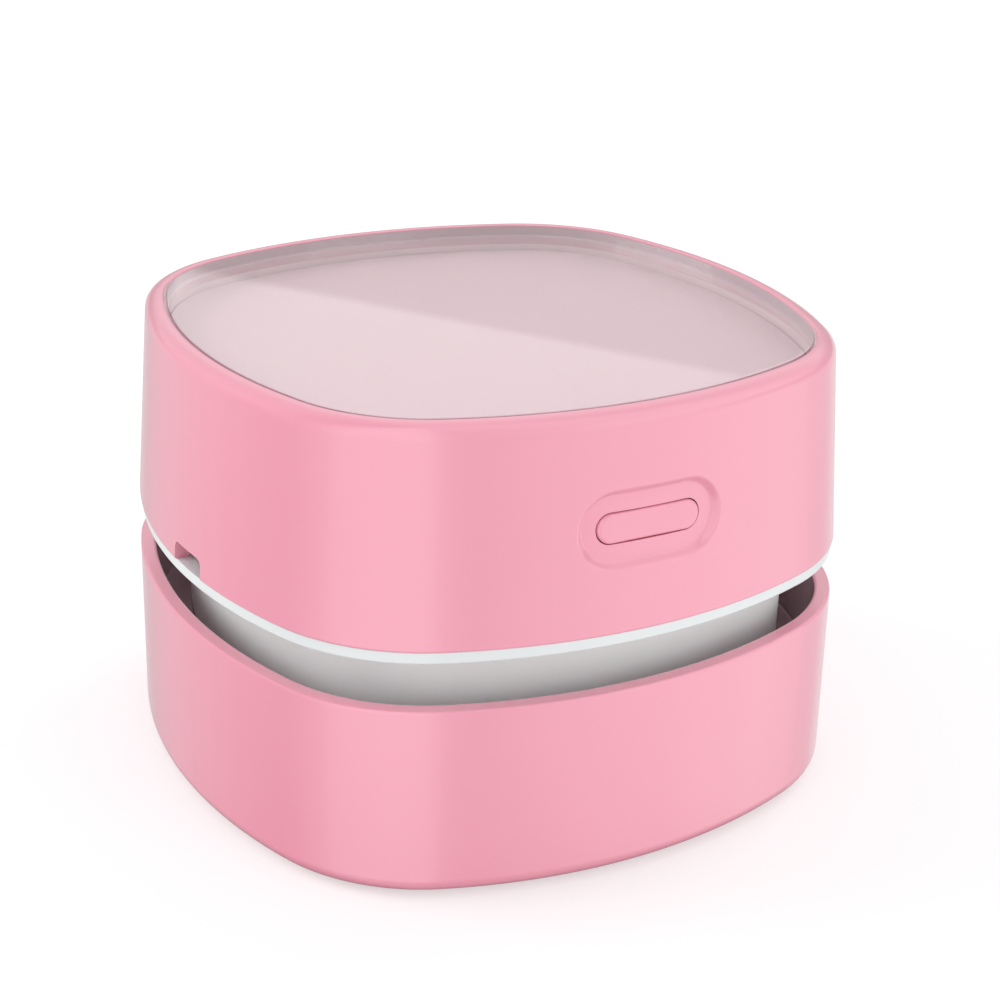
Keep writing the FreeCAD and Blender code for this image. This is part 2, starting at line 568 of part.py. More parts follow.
def neck_frame():
    """The grey chassis: the waist's wall, the deck above it and the lip inside the casing."""
    part = body("neck_frame")
    ring(part, NECK_BOTTOM, NECK, NECK_INSIDE, f"{BAND_BOTTOM} - {NECK_BOTTOM}")
    deck = sketch(part, BAND_BOTTOM)
    outline(deck, DECK)
    floor = pad(part, deck, "Dims.band_height")
    soften(part, floor, "Dims.cove", along_outline(BAND_BOTTOM, NECK))
    ring(part, DECK_TOP, DECK, f"({DECK} - Dims.lip_wall)", "Dims.lip_height")
    place = (COVER_SCREW, COVER_SCREW)
    around(part, disc(part, COVER_TOP, BOSS, f"{BAND_BOTTOM} - {COVER_TOP}", *place), "4")
    around(part, bore(part, COVER_TOP, SCREW_HOLE, "Dims.cover_screw", *place, forward=True), "4")
    place = (CHASSIS_SCREW, CHASSIS_SCREW)
    head = "(Dims.screw_head + Dims.screw_slack)"
    around(part, bore(part, DECK_TOP, SCREW_HOLE, "Dims.band_height", *place), "4")
    around(part, bore(part, BAND_BOTTOM, head, "2 * Dims.cove", *place), "4")
    boss = f"({BOSS} + Dims.boss_relief)"
    around(part, bore(part, DECK_TOP, boss, "Dims.lip_height", *place, forward=True), "4")
    port_gap(part)
    motor_seat(part)
    board_seat(part)
    exhaust_slots(part)
    return part


def port_sides(margin):
    """The two sides of the charging socket's place, a margin away from the socket."""
    reach = f"(Dims.socket_width / 2 + {margin})"
    return f"(-Dims.port_place - {reach})", f"({reach} - Dims.port_place)"


def port_gap(part):
    """The gap in the lip that the charging socket stands in."""
    gap = sketch(part, f"({DECK_TOP} + Dims.lip_height)")
    rectangle(gap, f"-{DECK}", f"{SOCKET_BACK} - Dims.lip_wall", *port_sides("Dims.port_margin"))
    pocket(part, gap, "Dims.lip_height")


def motor_seat(part):
    """The hole for the motor's nose and the holes for its two screws."""
    nose = "(Dims.nose_radius + Dims.nose_gap)"
    bore(part, DECK_TOP, nose, "Dims.band_height")
    hole = "(Dims.motor_screw_radius + Dims.screw_slack)"
    around(part, bore(part, DECK_TOP, hole, "Dims.band_height", "Dims.motor_screw_place"), "2")


def board_seat(part):
    """Two short standoffs under the circuit board."""
    for side in board_screw_places():
        disc(part, DECK_TOP, "Dims.standoff_radius", "Dims.board_lift", *side)
        doc.recompute()
        hole = "(Dims.motor_screw_radius + Dims.screw_slack)"
        bore(part, BOARD_BOTTOM, hole, "Dims.board_lift + Dims.band_height", *side)


def board_screw_places():
    across = f"({BOARD_RIGHT} - Dims.board_screw_inset)"
    front = f"({BOARD_FRONT} + Dims.board_screw_inset)"
    back = f"({BOARD_BACK} - Dims.board_screw_inset)"
    return (across, front), (across, back)


def exhaust_slots(part):
    """A row of upright slots through the back of the neck."""
    row = sketch(part, f"-({NECK_INSIDE} - Dims.slot_pitch)", "XZ_Plane")
    start = "-((Dims.slot_count - 1) * Dims.slot_pitch / 2)"
    sides = (f"{start} - Dims.slot_width / 2", f"{start} + Dims.slot_width / 2")
    rectangle(row, *sides, SLOT_BOTTOM, SLOT_TOP)
    slot = pocket(part, row, "Dims.slot_pitch + 2 * Dims.neck_wall")
    pattern = part.newObject("PartDesign::LinearPattern", "exhaust_row")
    pattern.Originals = [slot]
    pattern.Direction = (origin_part(part, "X_Axis"), [""])
    pattern.setExpression("Length", "(Dims.slot_count - 1) * Dims.slot_pitch")
    pattern.setExpression("Occurrences", "Dims.slot_count")
    part.Tip = pattern
    doc.recompute()


def neck_seal():
    """The soft ring that the head stands on, on the bin's shelf."""
    part = body("neck_seal")
    outside = f"({NECK} - Dims.seal_inset)"
    inside = f"({NECK_INSIDE} + Dims.seal_inset)"
    ring(part, "Dims.shelf_level", outside, inside, "Dims.seal_height")
    return part


def fan_cover():
    """The plate under the fan, with the fan's eye and the filter's spigot."""
    part = body("fan_cover")
    face = sketch(part, COVER_LEVEL)
    outline(face, f"({NECK_INSIDE} - Dims.cover_gap)")
    pad(part, face, "Dims.cover_thickness")
    inside = "(Dims.spigot_radius - Dims.spigot_wall)"
    low = f"({COVER_LEVEL} - Dims.spigot_height)"
    disc(part, low, "Dims.spigot_radius", "Dims.spigot_height", hole=inside)
    doc.recompute()
    bore(part, COVER_TOP, "Dims.eye_radius", "Dims.cover_thickness")
    around(part, bore(part, COVER_TOP, SCREW_HOLE, "Dims.cover_thickness", COVER_SCREW, COVER_SCREW), "4")
    return part


def filter_parts():
    """The push-on filter: a round holder with a cross, a felt disc and a pull tab."""
    holder = body("filter_holder")
    rise = "(Dims.filter_drop - Dims.filter_head_gap)"
    disc(holder, FILTER_LEVEL, FILTER_OUTSIDE, rise, hole=FILTER_INSIDE)
    lip = f"({FILTER_INSIDE} - Dims.filter_lip)"
    disc(holder, FILTER_LEVEL, FILTER_INSIDE, "Dims.filter_floor", hole=lip)
    for turned in (False, True):
        bar = sketch(holder, FILTER_LEVEL)
        long_side = (f"-{FILTER_INSIDE}", FILTER_INSIDE)
        short_side = ("-Dims.filter_bar / 2", "Dims.filter_bar / 2")
        rectangle(bar, *(short_side + long_side if turned else long_side + short_side))
        pad(holder, bar, "Dims.filter_floor")
    tab = sketch(holder, FILTER_LEVEL)
    rectangle(tab, "-Dims.tab_half", "Dims.tab_half", f"-{FILTER_INSIDE}", f"-{lip}")
    pad(holder, tab, "Dims.tab_height", back=True)
    felt = body("filter_felt")
    radius = f"({FILTER_INSIDE} - Dims.filter_head_gap)"
    disc(felt, f"({FILTER_LEVEL} + Dims.filter_floor)", radius, "Dims.filter_felt")
    return holder, felt


def impeller():
    """The fan wheel: a disc with skewed straight blades below it and a hub."""
    part = body("impeller")
    low_disc = f"({FAN_TOP} - Dims.fan_disc)"
    disc(part, low_disc, "Dims.fan_radius", "Dims.fan_disc")
    high = f"({FAN_TOP} + Dims.hub_rise)"
    disc(part, FAN_BOTTOM, "Dims.hub_radius", f"{high} - {FAN_BOTTOM}")
    blade = sketch(part, FAN_BOTTOM)
    tip = "sqrt(Dims.fan_radius * Dims.fan_radius - (Dims.blade_skew + Dims.blade_thickness) ^ 2)"
    rectangle(blade, "Dims.blade_start", tip, "Dims.blade_skew", "Dims.blade_skew + Dims.blade_thickness")
    vane = pad(part, blade, f"{low_disc} - {FAN_BOTTOM}")
    doc.recompute()
    around(part, vane, "Dims.blade_count")
    bore(part, high, SHAFT_GRIP, f"{high} - {FAN_BOTTOM}")
    return part


def motor():
    """The motor: a steel can with magnets, a shaft with its armature, bearings and an end cap."""
    can = body("motor_can")
    disc(can, DECK_TOP, "Dims.motor_radius", CAN_LENGTH)
    disc(can, BAND_BOTTOM, "Dims.nose_radius", "Dims.band_height")
    doc.recompute()
    inside = "(Dims.motor_radius - Dims.can_wall)"
    bore(can, CAN_TOP, inside, f"{CAN_LENGTH} - Dims.can_floor")
    bush_hole = "(Dims.bush_radius + Dims.press_gap)"
    floor = f"({DECK_TOP} + Dims.can_floor)"
    bore(can, floor, bush_hole, f"{floor} - {BAND_BOTTOM}")
    hole = "(Dims.motor_screw_radius + Dims.press_gap)"
    around(can, bore(can, floor, hole, "Dims.can_floor", "Dims.motor_screw_place"), "2")
    bush = body("front_bearing")
    disc(bush, BAND_BOTTOM, "Dims.bush_radius", f"{floor} - {BAND_BOTTOM}", hole=SHAFT_BORE)
    magnets = body("motor_magnets")
    magnets.AllowCompound = True
    outside = f"({inside} - Dims.press_gap)"
    disc(magnets, MAGNET_BOTTOM, outside, MAGNET_HEIGHT, hole=MAGNET_INSIDE)
    doc.recompute()
    gap = sketch(magnets, MAGNET_BOTTOM)
    half_slot = "Dims.magnet_slot / 2"
    rectangle(gap, f"-{half_slot}", half_slot, "-Dims.motor_radius", "Dims.motor_radius")
    pocket(magnets, gap, MAGNET_HEIGHT, forward=True)
    cap = body("motor_end_cap")
    disc(cap, CAN_TOP, "Dims.motor_radius", "Dims.end_cap")
    disc(cap, CAP_TOP, "Dims.rear_boss", "Dims.rear_boss_height")
    doc.recompute()
    bore(cap, f"({CAP_TOP} + Dims.rear_boss_height)", SHAFT_BORE, "Dims.end_cap + Dims.rear_boss_height")
    shaft = body("motor_shaft")
    disc(shaft, SHAFT_BOTTOM, "Dims.shaft_radius", f"{CAP_TOP} - {SHAFT_BOTTOM}")
    core = body("motor_armature")
    core_bottom = f"({MAGNET_BOTTOM} + Dims.magnet_margin / 2)"
    core_height = f"({MAGNET_HEIGHT} - Dims.magnet_margin - Dims.commutator_height / 2)"
    disc(core, core_bottom, f"({MAGNET_INSIDE} - Dims.air_gap)", core_height)
    doc.recompute()
    slot = sketch(core, f"({core_bottom} + {core_height})")
    reach = f"({MAGNET_INSIDE} - Dims.air_gap) / 2"
    rectangle(slot, reach, "Dims.motor_radius", "-Dims.shaft_radius", "Dims.shaft_radius")
    around(core, pocket(core, slot, core_height), "3")
    bore(core, f"({core_bottom} + {core_height})", SHAFT_GRIP, core_height)
    copper = body("commutator")
    level = f"({core_bottom} + {core_height})"
    disc(copper, level, "Dims.commutator_radius", "Dims.commutator_height", hole=SHAFT_GRIP)
    tabs = body("motor_terminals")
    tabs.AllowCompound = True
    tab = sketch(tabs, CAP_TOP)
    half = "2 * Dims.wire_radius"
    rectangle(tab, "Dims.terminal_place", "Dims.terminal_place + Dims.wire_radius", f"-{half}", half)
    blade = pad(tabs, tab, "Dims.terminal_height")
    doc.recompute()
    around(tabs, blade, "2")


def battery():
    """A round cell that lies across the back of the deck in a saddle."""
    saddle = body("battery_cradle")
    base = sketch(saddle, DECK_TOP)
    sides = (f"{CELL_PLACE} - Dims.cradle_half", f"{CELL_PLACE} + Dims.cradle_half")
    rectangle(base, f"-{CRADLE_HALF_LENGTH}", CRADLE_HALF_LENGTH, *sides)
    pad(saddle, base, "Dims.cradle_height")
    doc.recompute()
    trough = sketch(saddle, CRADLE_HALF_LENGTH, "YZ_Plane")
    circle(trough, "(Dims.cell_radius + Dims.cell_gap)", CELL_PLACE, CELL_AXIS)
    pocket(saddle, trough, f"2 * {CRADLE_HALF_LENGTH}")
    cell = body("battery_cell")
    round_end = sketch(cell, f"-{CELL_HALF}", "YZ_Plane")
    circle(round_end, "Dims.cell_radius", CELL_PLACE, CELL_AXIS)
    pad(cell, round_end, f"2 * {CELL_HALF}")
    nub = sketch(cell, CELL_HALF, "YZ_Plane")
    circle(nub, "Dims.nub_radius", CELL_PLACE, CELL_AXIS)
    pad(cell, nub, "Dims.nub_length")


def circuit():
    """The charging board with its parts, its screws and the charging socket."""
    board = body("circuit_board")
    face = sketch(board, BOARD_BOTTOM)
    rectangle(face, BOARD_LEFT, BOARD_RIGHT, BOARD_FRONT, BOARD_BACK)
    pad(board, face, "Dims.board_thickness")
    doc.recompute()
    cut_out = sketch(board, BOARD_TOP)
    slack = "Dims.socket_slack"
    rectangle(cut_out, f"{BOARD_LEFT} - {slack}", f"{SOCKET_BACK} + {slack}", *port_sides(slack))
    pocket(board, cut_out, "Dims.board_thickness")
    hole = "(Dims.motor_screw_radius + Dims.screw_slack)"
    bolts = body("board_screws")
    bolts.AllowCompound = True
    reach = "(Dims.board_thickness + Dims.board_lift + Dims.band_height / 2)"
    for side in board_screw_places():
        bore(board, BOARD_TOP, hole, "Dims.board_thickness", *side)
        disc(bolts, BOARD_TOP, "Dims.motor_screw_head", "Dims.screw_head_height", *side)
        disc(bolts, f"({BOARD_TOP} - {reach})", "Dims.motor_screw_radius", reach, *side)
    chips = body("board_components")
    chips.AllowCompound = True
    left = f"({SOCKET_BACK} + Dims.chip_gap)"
    right = f"({BOARD_RIGHT} - Dims.board_screw_inset - Dims.chip_screw_gap)"
    for index in range(3):
        start = f"({BOARD_FRONT} + Dims.board_screw_inset + {index} * Dims.chip_pitch)"
        chip = sketch(chips, BOARD_TOP)
        rectangle(chip, left, right, start, f"{start} + Dims.chip_width")
        pad(chips, chip, f"Dims.chip_height + {index} * Dims.chip_step")
    socket = body("charging_socket")
    low, high = port_sides("0")
    roof = f"({SOCKET_BOTTOM} + Dims.socket_height)"
    mouth = sketch(socket, SOCKET_FRONT, "YZ_Plane")
    rectangle(mouth, low, high, SOCKET_BOTTOM, roof)
    pad(socket, mouth, "Dims.socket_length")
    doc.recompute()
    skin = "Dims.socket_shell"
    inner = sketch(socket, SOCKET_FRONT, "YZ_Plane")
    rectangle(inner, f"{low} + {skin}", f"{high} - {skin}", f"{SOCKET_BOTTOM} + {skin}", f"{roof} - {skin}")
    pocket(socket, inner, "Dims.socket_length - Dims.socket_back", forward=True)
    tongue = sketch(socket, f"{SOCKET_FRONT} + Dims.socket_back", "YZ_Plane")
    middle = f"({SOCKET_BOTTOM} + Dims.socket_height / 2)"
    rectangle(tongue, "-Dims.port_place - Dims.tongue_half", "-Dims.port_place + Dims.tongue_half",
              f"{middle} - Dims.tongue_thickness / 2", f"{middle} + Dims.tongue_thickness / 2")
    pad(socket, tongue, "Dims.socket_length - Dims.socket_back")


def power_button():
    """The pill button: a flush cap with a flange behind the wall, and a stem."""
    part = body("power_button")
    cap = sketch(part, FLANGE_FACE, "XZ_Plane")
    pill(cap, "Dims.button_length", "Dims.button_height", BUTTON_LEVEL)
    pad(part, cap, f"{BUTTON_FACE} - {FLANGE_FACE}")
    flange = sketch(part, STEM_FACE, "XZ_Plane")
    margin = "2 * Dims.flange_margin"
    pill(flange, f"(Dims.button_length + {margin})", f"(Dims.button_height + {margin})", BUTTON_LEVEL)
    pad(part, flange, "Dims.flange_thickness")
    stem = sketch(part, PLUNGER_FACE, "XZ_Plane")
    circle(stem, "Dims.stem_radius", "0", BUTTON_LEVEL)
    pad(part, stem, "Dims.stem_length")
    soften(part, part.Tip, "Dims.button_round", on_front(BUTTON_FACE))
    plunger = body("switch_plunger")
    rod = sketch(plunger, f"({PLUNGER_FACE} - Dims.plunger_length)", "XZ_Plane")
    circle(rod, "Dims.plunger_radius", "0", BUTTON_LEVEL)
    pad(plunger, rod, "Dims.plunger_length")


def switch():
    """The tactile switch behind the button, on a small upright board."""
    case = body("switch_body")
    face = sketch(case, SWITCH_BACK, "XZ_Plane")
    half = "Dims.switch_size / 2"
    rectangle(face, f"-{half}", half, f"{BUTTON_LEVEL} - {half}", f"{BUTTON_LEVEL} + {half}")
    pad(case, face, "Dims.switch_depth")
    doc.recompute()
    mouth = sketch(case, SWITCH_FACE, "XZ_Plane")
    circle(mouth, "(Dims.plunger_radius + Dims.plunger_gap)", "0", BUTTON_LEVEL)
    pocket(case, mouth, "Dims.switch_bore")
    board = body("switch_board")
    plate = sketch(board, f"({SWITCH_BACK} - Dims.board_thickness)", "XZ_Plane")
    rectangle(plate, "-Dims.switch_board_half", "Dims.switch_board_half", DECK_TOP,
              f"{BUTTON_LEVEL} + Dims.switch_board_margin")
    pad(board, plate, "Dims.board_thickness")


def wire_tube(points, radius):
    """A round tube along straight runs joined by tangent arcs."""
    edges = []
    start = points[0]
    for before, here, after in zip(points, points[1:], points[2:]):
        back = (before - here).normalize()
        ahead = (after - here).normalize()
        half_turn = (math.pi - back.getAngle(ahead)) / 2
        shorter = min((before - here).Length, (after - here).Length)
        setback = 0.45 * shorter
        bend = setback / math.tan(half_turn)
        enter = here + back * setback
        leave = here + ahead * setback
        bisector = (back + ahead).normalize()
        centre = here + bisector * (bend / math.cos(half_turn))
        middle = centre - bisector * bend
        edges.append(Part.LineSegment(start, enter).toShape())
        edges.append(Part.Arc(enter, middle, leave).toShape())
        print(f"lead bend radius {bend:.1f}")
        start = leave
    edges.append(Part.LineSegment(start, points[-1]).toShape())
    path = Part.Wire(edges)
    direction = points[1] - points[0]
    section = Part.Wire(Part.Circle(points[0], direction, radius).toShape())
    tube = path.makePipeShell([section], True, True)
    expected = math.pi * radius ** 2 * path.Length
    if abs(tube.Volume - expected) > 0.02 * expected:
        raise RuntimeError(f"a wire's volume is {tube.Volume:.2f}, not {expected:.2f}")
    return tube


def wires():
    """The leads between the cell, the board, the switch and the motor, on their real routes."""
    terminal = V(0, 0, value(CAP_TOP) + value("Dims.terminal_height") / 2)
    tab = V(value("Dims.terminal_place + Dims.wire_radius"), 0, 0)
    solder = V(value(f"{BOARD_RIGHT} - Dims.board_screw_inset"), 0, value(BOARD_TOP))
    nub = V(value(CELL_END), value(CELL_PLACE), value(CELL_AXIS))
    can_end = V(-value(CELL_HALF), value(CELL_PLACE), value(CELL_AXIS))
    switch = V(0, -value(f"{SWITCH_BACK} - Dims.board_thickness"), value(BOARD_TOP))
    grid = value("Dims.wire_grid")

    def route(*stops):
        """Points that lie whole grid steps away from the pieces they start from."""
        return [base + V(*steps) * grid for base, *steps in stops]

    routes = {
        "motor_lead_red": [terminal - tab] + route(
            (terminal, -75, 0, 0), (terminal, -81, -5, -30), (solder, 0, -12, 22), (solder, 0, -12, 0)),
        "motor_lead_black": [terminal + tab] + route(
            (terminal, 68, 0, 0), (terminal, 71, -38, -6), (terminal, 42, -75, -17),
            (terminal, 0, -90, -32), (solder, 48, -85, 31), (solder, 14, -62, 26),
            (solder, 0, -34, 20), (solder, 0, -34, 0)),
        "cell_lead_red": [nub] + route(
            (nub, 18, 0, 0), (nub, 20, -35, -11), (solder, 214, 37, 14), (solder, 181, -28, 8),
            (solder, 138, -80, 5), (solder, 77, -107, 9), (solder, 18, -102, 17),
            (solder, -20, -63, 20), (solder, -20, -63, 0)),
        "cell_lead_black": [can_end] + route(
            (can_end, -18, 0, 0), (can_end, -17, -38, -10), (solder, -40, 43, 23),
            (solder, -21, 16, 19), (solder, -21, 16, 0)),
        "switch_leads": route(
            (switch, -21, 0, 25), (switch, -21, 20, 25), (switch, -48, 37, 31),
            (solder, -3, -88, 32), (solder, -20, -45, 23), (solder, -20, -45, 0)),
    }
    for label, points in routes.items():
        lead = doc.addObject("Part::Feature", label)
        lead.Label = label
        lead.Shape = wire_tube(points, value("Dims.wire_radius"))


lower_shell()
base_plate()
base_seat = f"({PLATE_BOTTOM} + Dims.screw_head_height)"
base_length = f"({LIP_BOTTOM} + Dims.base_screw_length - {base_seat} - Dims.screw_slack)"
screws("base_screws", BASE_SCREW, BASE_SCREW, base_seat, base_length, "4")
brush()
glide_pads()
upper_shell()
clear_panel()
deck_plate()
trim_band()
neck_frame()
neck_seal()
chassis_length = "(Dims.band_height + Dims.chassis_screw - Dims.screw_slack)"
screws("chassis_screws", CHASSIS_SCREW, CHASSIS_SCREW, BAND_BOTTOM, chassis_length, "4")
fan_cover()
cover_length = "(Dims.cover_thickness + Dims.cover_screw - Dims.screw_slack)"
screws("cover_screws", COVER_SCREW, COVER_SCREW, COVER_LEVEL, cover_length, "4")
filter_parts()
impeller()
motor()
motor_grip = "(Dims.band_height + Dims.can_floor)"
screws("motor_screws", "Dims.motor_screw_place", "0", BAND_BOTTOM, motor_grip, "2",
       "Dims.motor_screw_head", "Dims.motor_screw_radius")
battery()
circuit()
power_button()
switch()
wires()
doc.recompute()

pieces = [item for item in doc.Objects if item.TypeId in ("PartDesign::Body", "Part::Feature")]
for item in doc.Objects:
    if "Invalid" in item.State or "Error" in item.State:
        raise RuntimeError(f"{item.Label} failed: {item.State}")
for item in pieces:
    if item.Shape.isNull() or not item.Shape.isValid():
        raise RuntimeError(f"{item.Label} has no valid shape")

os.makedirs("parts", exist_ok=True)
for item in pieces:
    item.Shape.exportStep(f"parts/{item.Label}.step")
    box = item.Shape.BoundBox
    print(f"{item.Label:18s} solids {len(item.Shape.Solids):3d} volume {item.Shape.Volume:10.2f} "
          f"x {box.XMin:.2f} {box.XMax:.2f} y {box.YMin:.2f} {box.YMax:.2f} z {box.ZMin:.2f} {box.ZMax:.2f}")
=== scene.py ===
# %% [markdown]
# This lesson dresses a palm-sized desk vacuum cleaner. Its construction is already fixed: every piece has
# its place and size in metres, and each moving piece hangs on a body. What is added here is the finish:
# smooth moulded casings, the clear top, the brush, the screws, and materials for every piece.

# %% Load the fixed frame
import bpy
import bmesh
import math
import numpy as np
from mathutils import Matrix, Vector


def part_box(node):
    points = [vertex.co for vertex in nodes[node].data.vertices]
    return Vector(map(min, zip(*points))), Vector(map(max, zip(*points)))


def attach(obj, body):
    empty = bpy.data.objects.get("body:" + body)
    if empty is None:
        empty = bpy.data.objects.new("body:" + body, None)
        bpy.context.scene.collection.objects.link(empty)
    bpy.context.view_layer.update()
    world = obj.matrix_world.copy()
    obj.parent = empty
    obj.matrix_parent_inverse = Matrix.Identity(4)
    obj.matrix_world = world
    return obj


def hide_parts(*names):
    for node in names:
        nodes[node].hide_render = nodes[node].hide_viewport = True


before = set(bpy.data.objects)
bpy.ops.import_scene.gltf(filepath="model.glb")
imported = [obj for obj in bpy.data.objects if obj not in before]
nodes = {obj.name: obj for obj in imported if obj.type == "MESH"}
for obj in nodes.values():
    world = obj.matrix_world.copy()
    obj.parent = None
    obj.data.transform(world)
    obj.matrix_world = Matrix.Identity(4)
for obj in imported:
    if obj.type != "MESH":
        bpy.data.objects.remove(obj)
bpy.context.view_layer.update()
MM = 0.001
print("nodes loaded:", len(nodes))

# %% [markdown]
# The camera looks down on the front left corner, as one looks at a cleaner that stands on a desk.
# It is placed on a sphere round a point in the middle of the waist. The small shift and roll only set the
# framing; the upright lines stay upright.

# %% Camera
AIM = Vector((0, 0, 29.3 * MM))
CAMERA_AZIMUTH, CAMERA_ELEVATION = -28.02, 23.31
CAMERA_ROLL = math.radians(1.15)
CAMERA_DISTANCE = 256.1 * MM


def direction(azimuth, elevation):
    """The way towards an azimuth and an elevation in degrees. Azimuth 0 is the front."""
    a, e = math.radians(azimuth), math.radians(elevation)
    return Vector((math.sin(a) * math.cos(e), -math.cos(a) * math.cos(e), math.sin(e)))


def placed(name, data):
    """An object that shows some data, linked into the scene."""
    made = bpy.data.objects.new(name, data)
    bpy.context.scene.collection.objects.link(made)
    return made


towards_camera = direction(CAMERA_AZIMUTH, CAMERA_ELEVATION)
lens_data = bpy.data.cameras.new("camera")
lens_data.lens = 69.04
lens_data.sensor_width = 36
lens_data.shift_x = 0.0219
lens_data.shift_y = 0.0171
lens_data.clip_start = 0.01
camera = placed("camera", lens_data)
level_side = (-towards_camera).cross(Vector((0, 0, 1))).normalized()
level_lift = level_side.cross(-towards_camera)
camera_side = level_side * math.cos(CAMERA_ROLL) + level_lift * math.sin(CAMERA_ROLL)
camera_lift = level_lift * math.cos(CAMERA_ROLL) - level_side * math.sin(CAMERA_ROLL)
camera_turn = Matrix((camera_side, camera_lift, towards_camera)).transposed()
camera.matrix_world = Matrix.Translation(AIM + towards_camera * CAMERA_DISTANCE) @ camera_turn.to_4x4()
bpy.context.scene.camera = camera
print("camera at", [round(c, 4) for c in camera.location])

# %% [markdown]
# Shaders take linear colours, while people write colours as they look on a screen, from 0 to 255. One
# helper turns the second kind into the first. The others make a material, its nodes and their links.

# %% Colour and node helpers
def linear(red, green, blue):
    """A screen colour as the linear colour of a shader socket."""
    shares = [part / 255 for part in (red, green, blue)]
    return tuple(s / 12.92 if s <= 0.04045 else ((s + 0.055) / 1.055) ** 2.4 for s in shares) + (1,)


def new_material(name):
    """A material with its node tree and its Principled shader."""
    material = bpy.data.materials.new(name)
    material.use_nodes = True
    return material, material.node_tree, material.node_tree.nodes["Principled BSDF"]


def set_inputs(node, **values):
    """Sets some of a node's input sockets by name, with _ for a space."""
    for socket, value in values.items():
        node.inputs[socket.replace("_", " ")].default_value = value
    return node


def add_node(tree, kind, **values):
    """A node with some of its input sockets set."""
    return set_inputs(tree.nodes.new(kind), **values)


def math_node(tree, operation, second=None, kind="ShaderNodeMath"):
    """A node that does one sum, with its second number set if one is given."""
    node = tree.nodes.new(kind)
    node.operation = operation
    if second is not None:
        node.inputs[1].default_value = second
    return node


def colour_mix(tree, low, high):
    """A node that mixes two colours by its factor. None stands for a colour that a link brings."""
    mix = tree.nodes.new("ShaderNodeMix")
    mix.data_type = "RGBA"
    if low is not None:
        mix.inputs["A"].default_value = low
    mix.inputs["B"].default_value = high
    return mix


def wire(tree, *links):
    """Makes links, each given as (giver, output, taker, input)."""
    for giver, output, taker, socket in links:
        tree.links.new(giver.outputs[output], taker.inputs[socket])

# %% [markdown]
# Moulded plastic is never one flat colour. The steel mould is spark-eroded, which leaves a fine grain, and
# the melt flows unevenly, which leaves very faint clouds. Both are noise textures on Object coordinates, so
# the pattern stays on the piece: a fine one drives the bump, a broad one the colour and the gloss.

# %% Moulded plastic
COAT_ROUGHNESS = 0.16


def moulded(name, colour, roughness, grain=0.05, cloud=0.02, coat=0.0):
    """Satin or glossy moulded plastic with a fine grain and faint clouds."""
    material, tree, shader = new_material(name)
    place = tree.nodes.new("ShaderNodeTexCoord")
    clouds = add_node(tree, "ShaderNodeTexNoise", Scale=45.0, Detail=3.0)
    fine = add_node(tree, "ShaderNodeTexNoise", Scale=2600.0, Detail=2.0)
    tone = colour_mix(tree, tuple(c * (1 - cloud) for c in colour[:3]) + (1,),
                      tuple(min(1, c * (1 + cloud)) for c in colour[:3]) + (1,))
    gloss = add_node(tree, "ShaderNodeMapRange", To_Min=roughness * 0.9, To_Max=roughness * 1.1)
    bump = add_node(tree, "ShaderNodeBump", Strength=grain, Distance=0.05 * MM)
    wire(tree, (place, "Object", clouds, "Vector"), (place, "Object", fine, "Vector"),
         (clouds, "Fac", tone, "Factor"), (clouds, "Fac", gloss, "Value"),
         (tone, "Result", shader, "Base Color"), (gloss, "Result", shader, "Roughness"),
         (fine, "Fac", bump, "Height"), (bump, "Normal", shader, "Normal"))
    set_inputs(shader, Coat_Weight=coat, Coat_Roughness=COAT_ROUGHNESS)
    return material


PINK = linear(239, 158, 177)
PINK_ROUGHNESS = 0.3
PLASTICS = {
    "trim_white": (linear(226, 231, 231), 0.22, 0.01, 0.01),
    "neck_grey": (linear(244, 246, 245), 0.4),
    "inner_grey": (linear(96, 96, 99), 0.5),
    "plate_pale": (linear(207, 181, 189), 0.4, 0.01, 0.008),
    "chip_black": (linear(30, 30, 32), 0.42),
    "soft_rubber": (linear(40, 38, 40), 0.7, 0.15),
    "cell_sleeve": (linear(64, 120, 168), 0.22, 0.01),
    "wire_red": (linear(188, 32, 28), 0.35, 0.01),
    "wire_black": (linear(28, 28, 30), 0.35, 0.01),
    "bristle_nylon": (linear(70, 70, 74), 0.35, 0.01),
    "magnet_ferrite": (linear(54, 54, 57), 0.6, 0.2, 0.08),
}
finishes = {name: moulded(name, *look) for name, look in PLASTICS.items()}
finishes["casing_pink"] = moulded("casing_pink", PINK, PINK_ROUGHNESS, coat=1.0)
print("plastics:", len(bpy.data.materials))

# %% [markdown]
# Both casings carry painted shade on the inside: the bin's inner walls are painted darker, for the shade
# deep in the bowl, and the well under the clear panel is painted greyer than the walls, for its shade under
# the panel.
# A face counts as inside when it lies between two heights and doesn't look outwards. The heights stop short
# of the outer rounds, which keep the walls' pink.

# %% Painted shade inside
FADE = 0.05 * MM


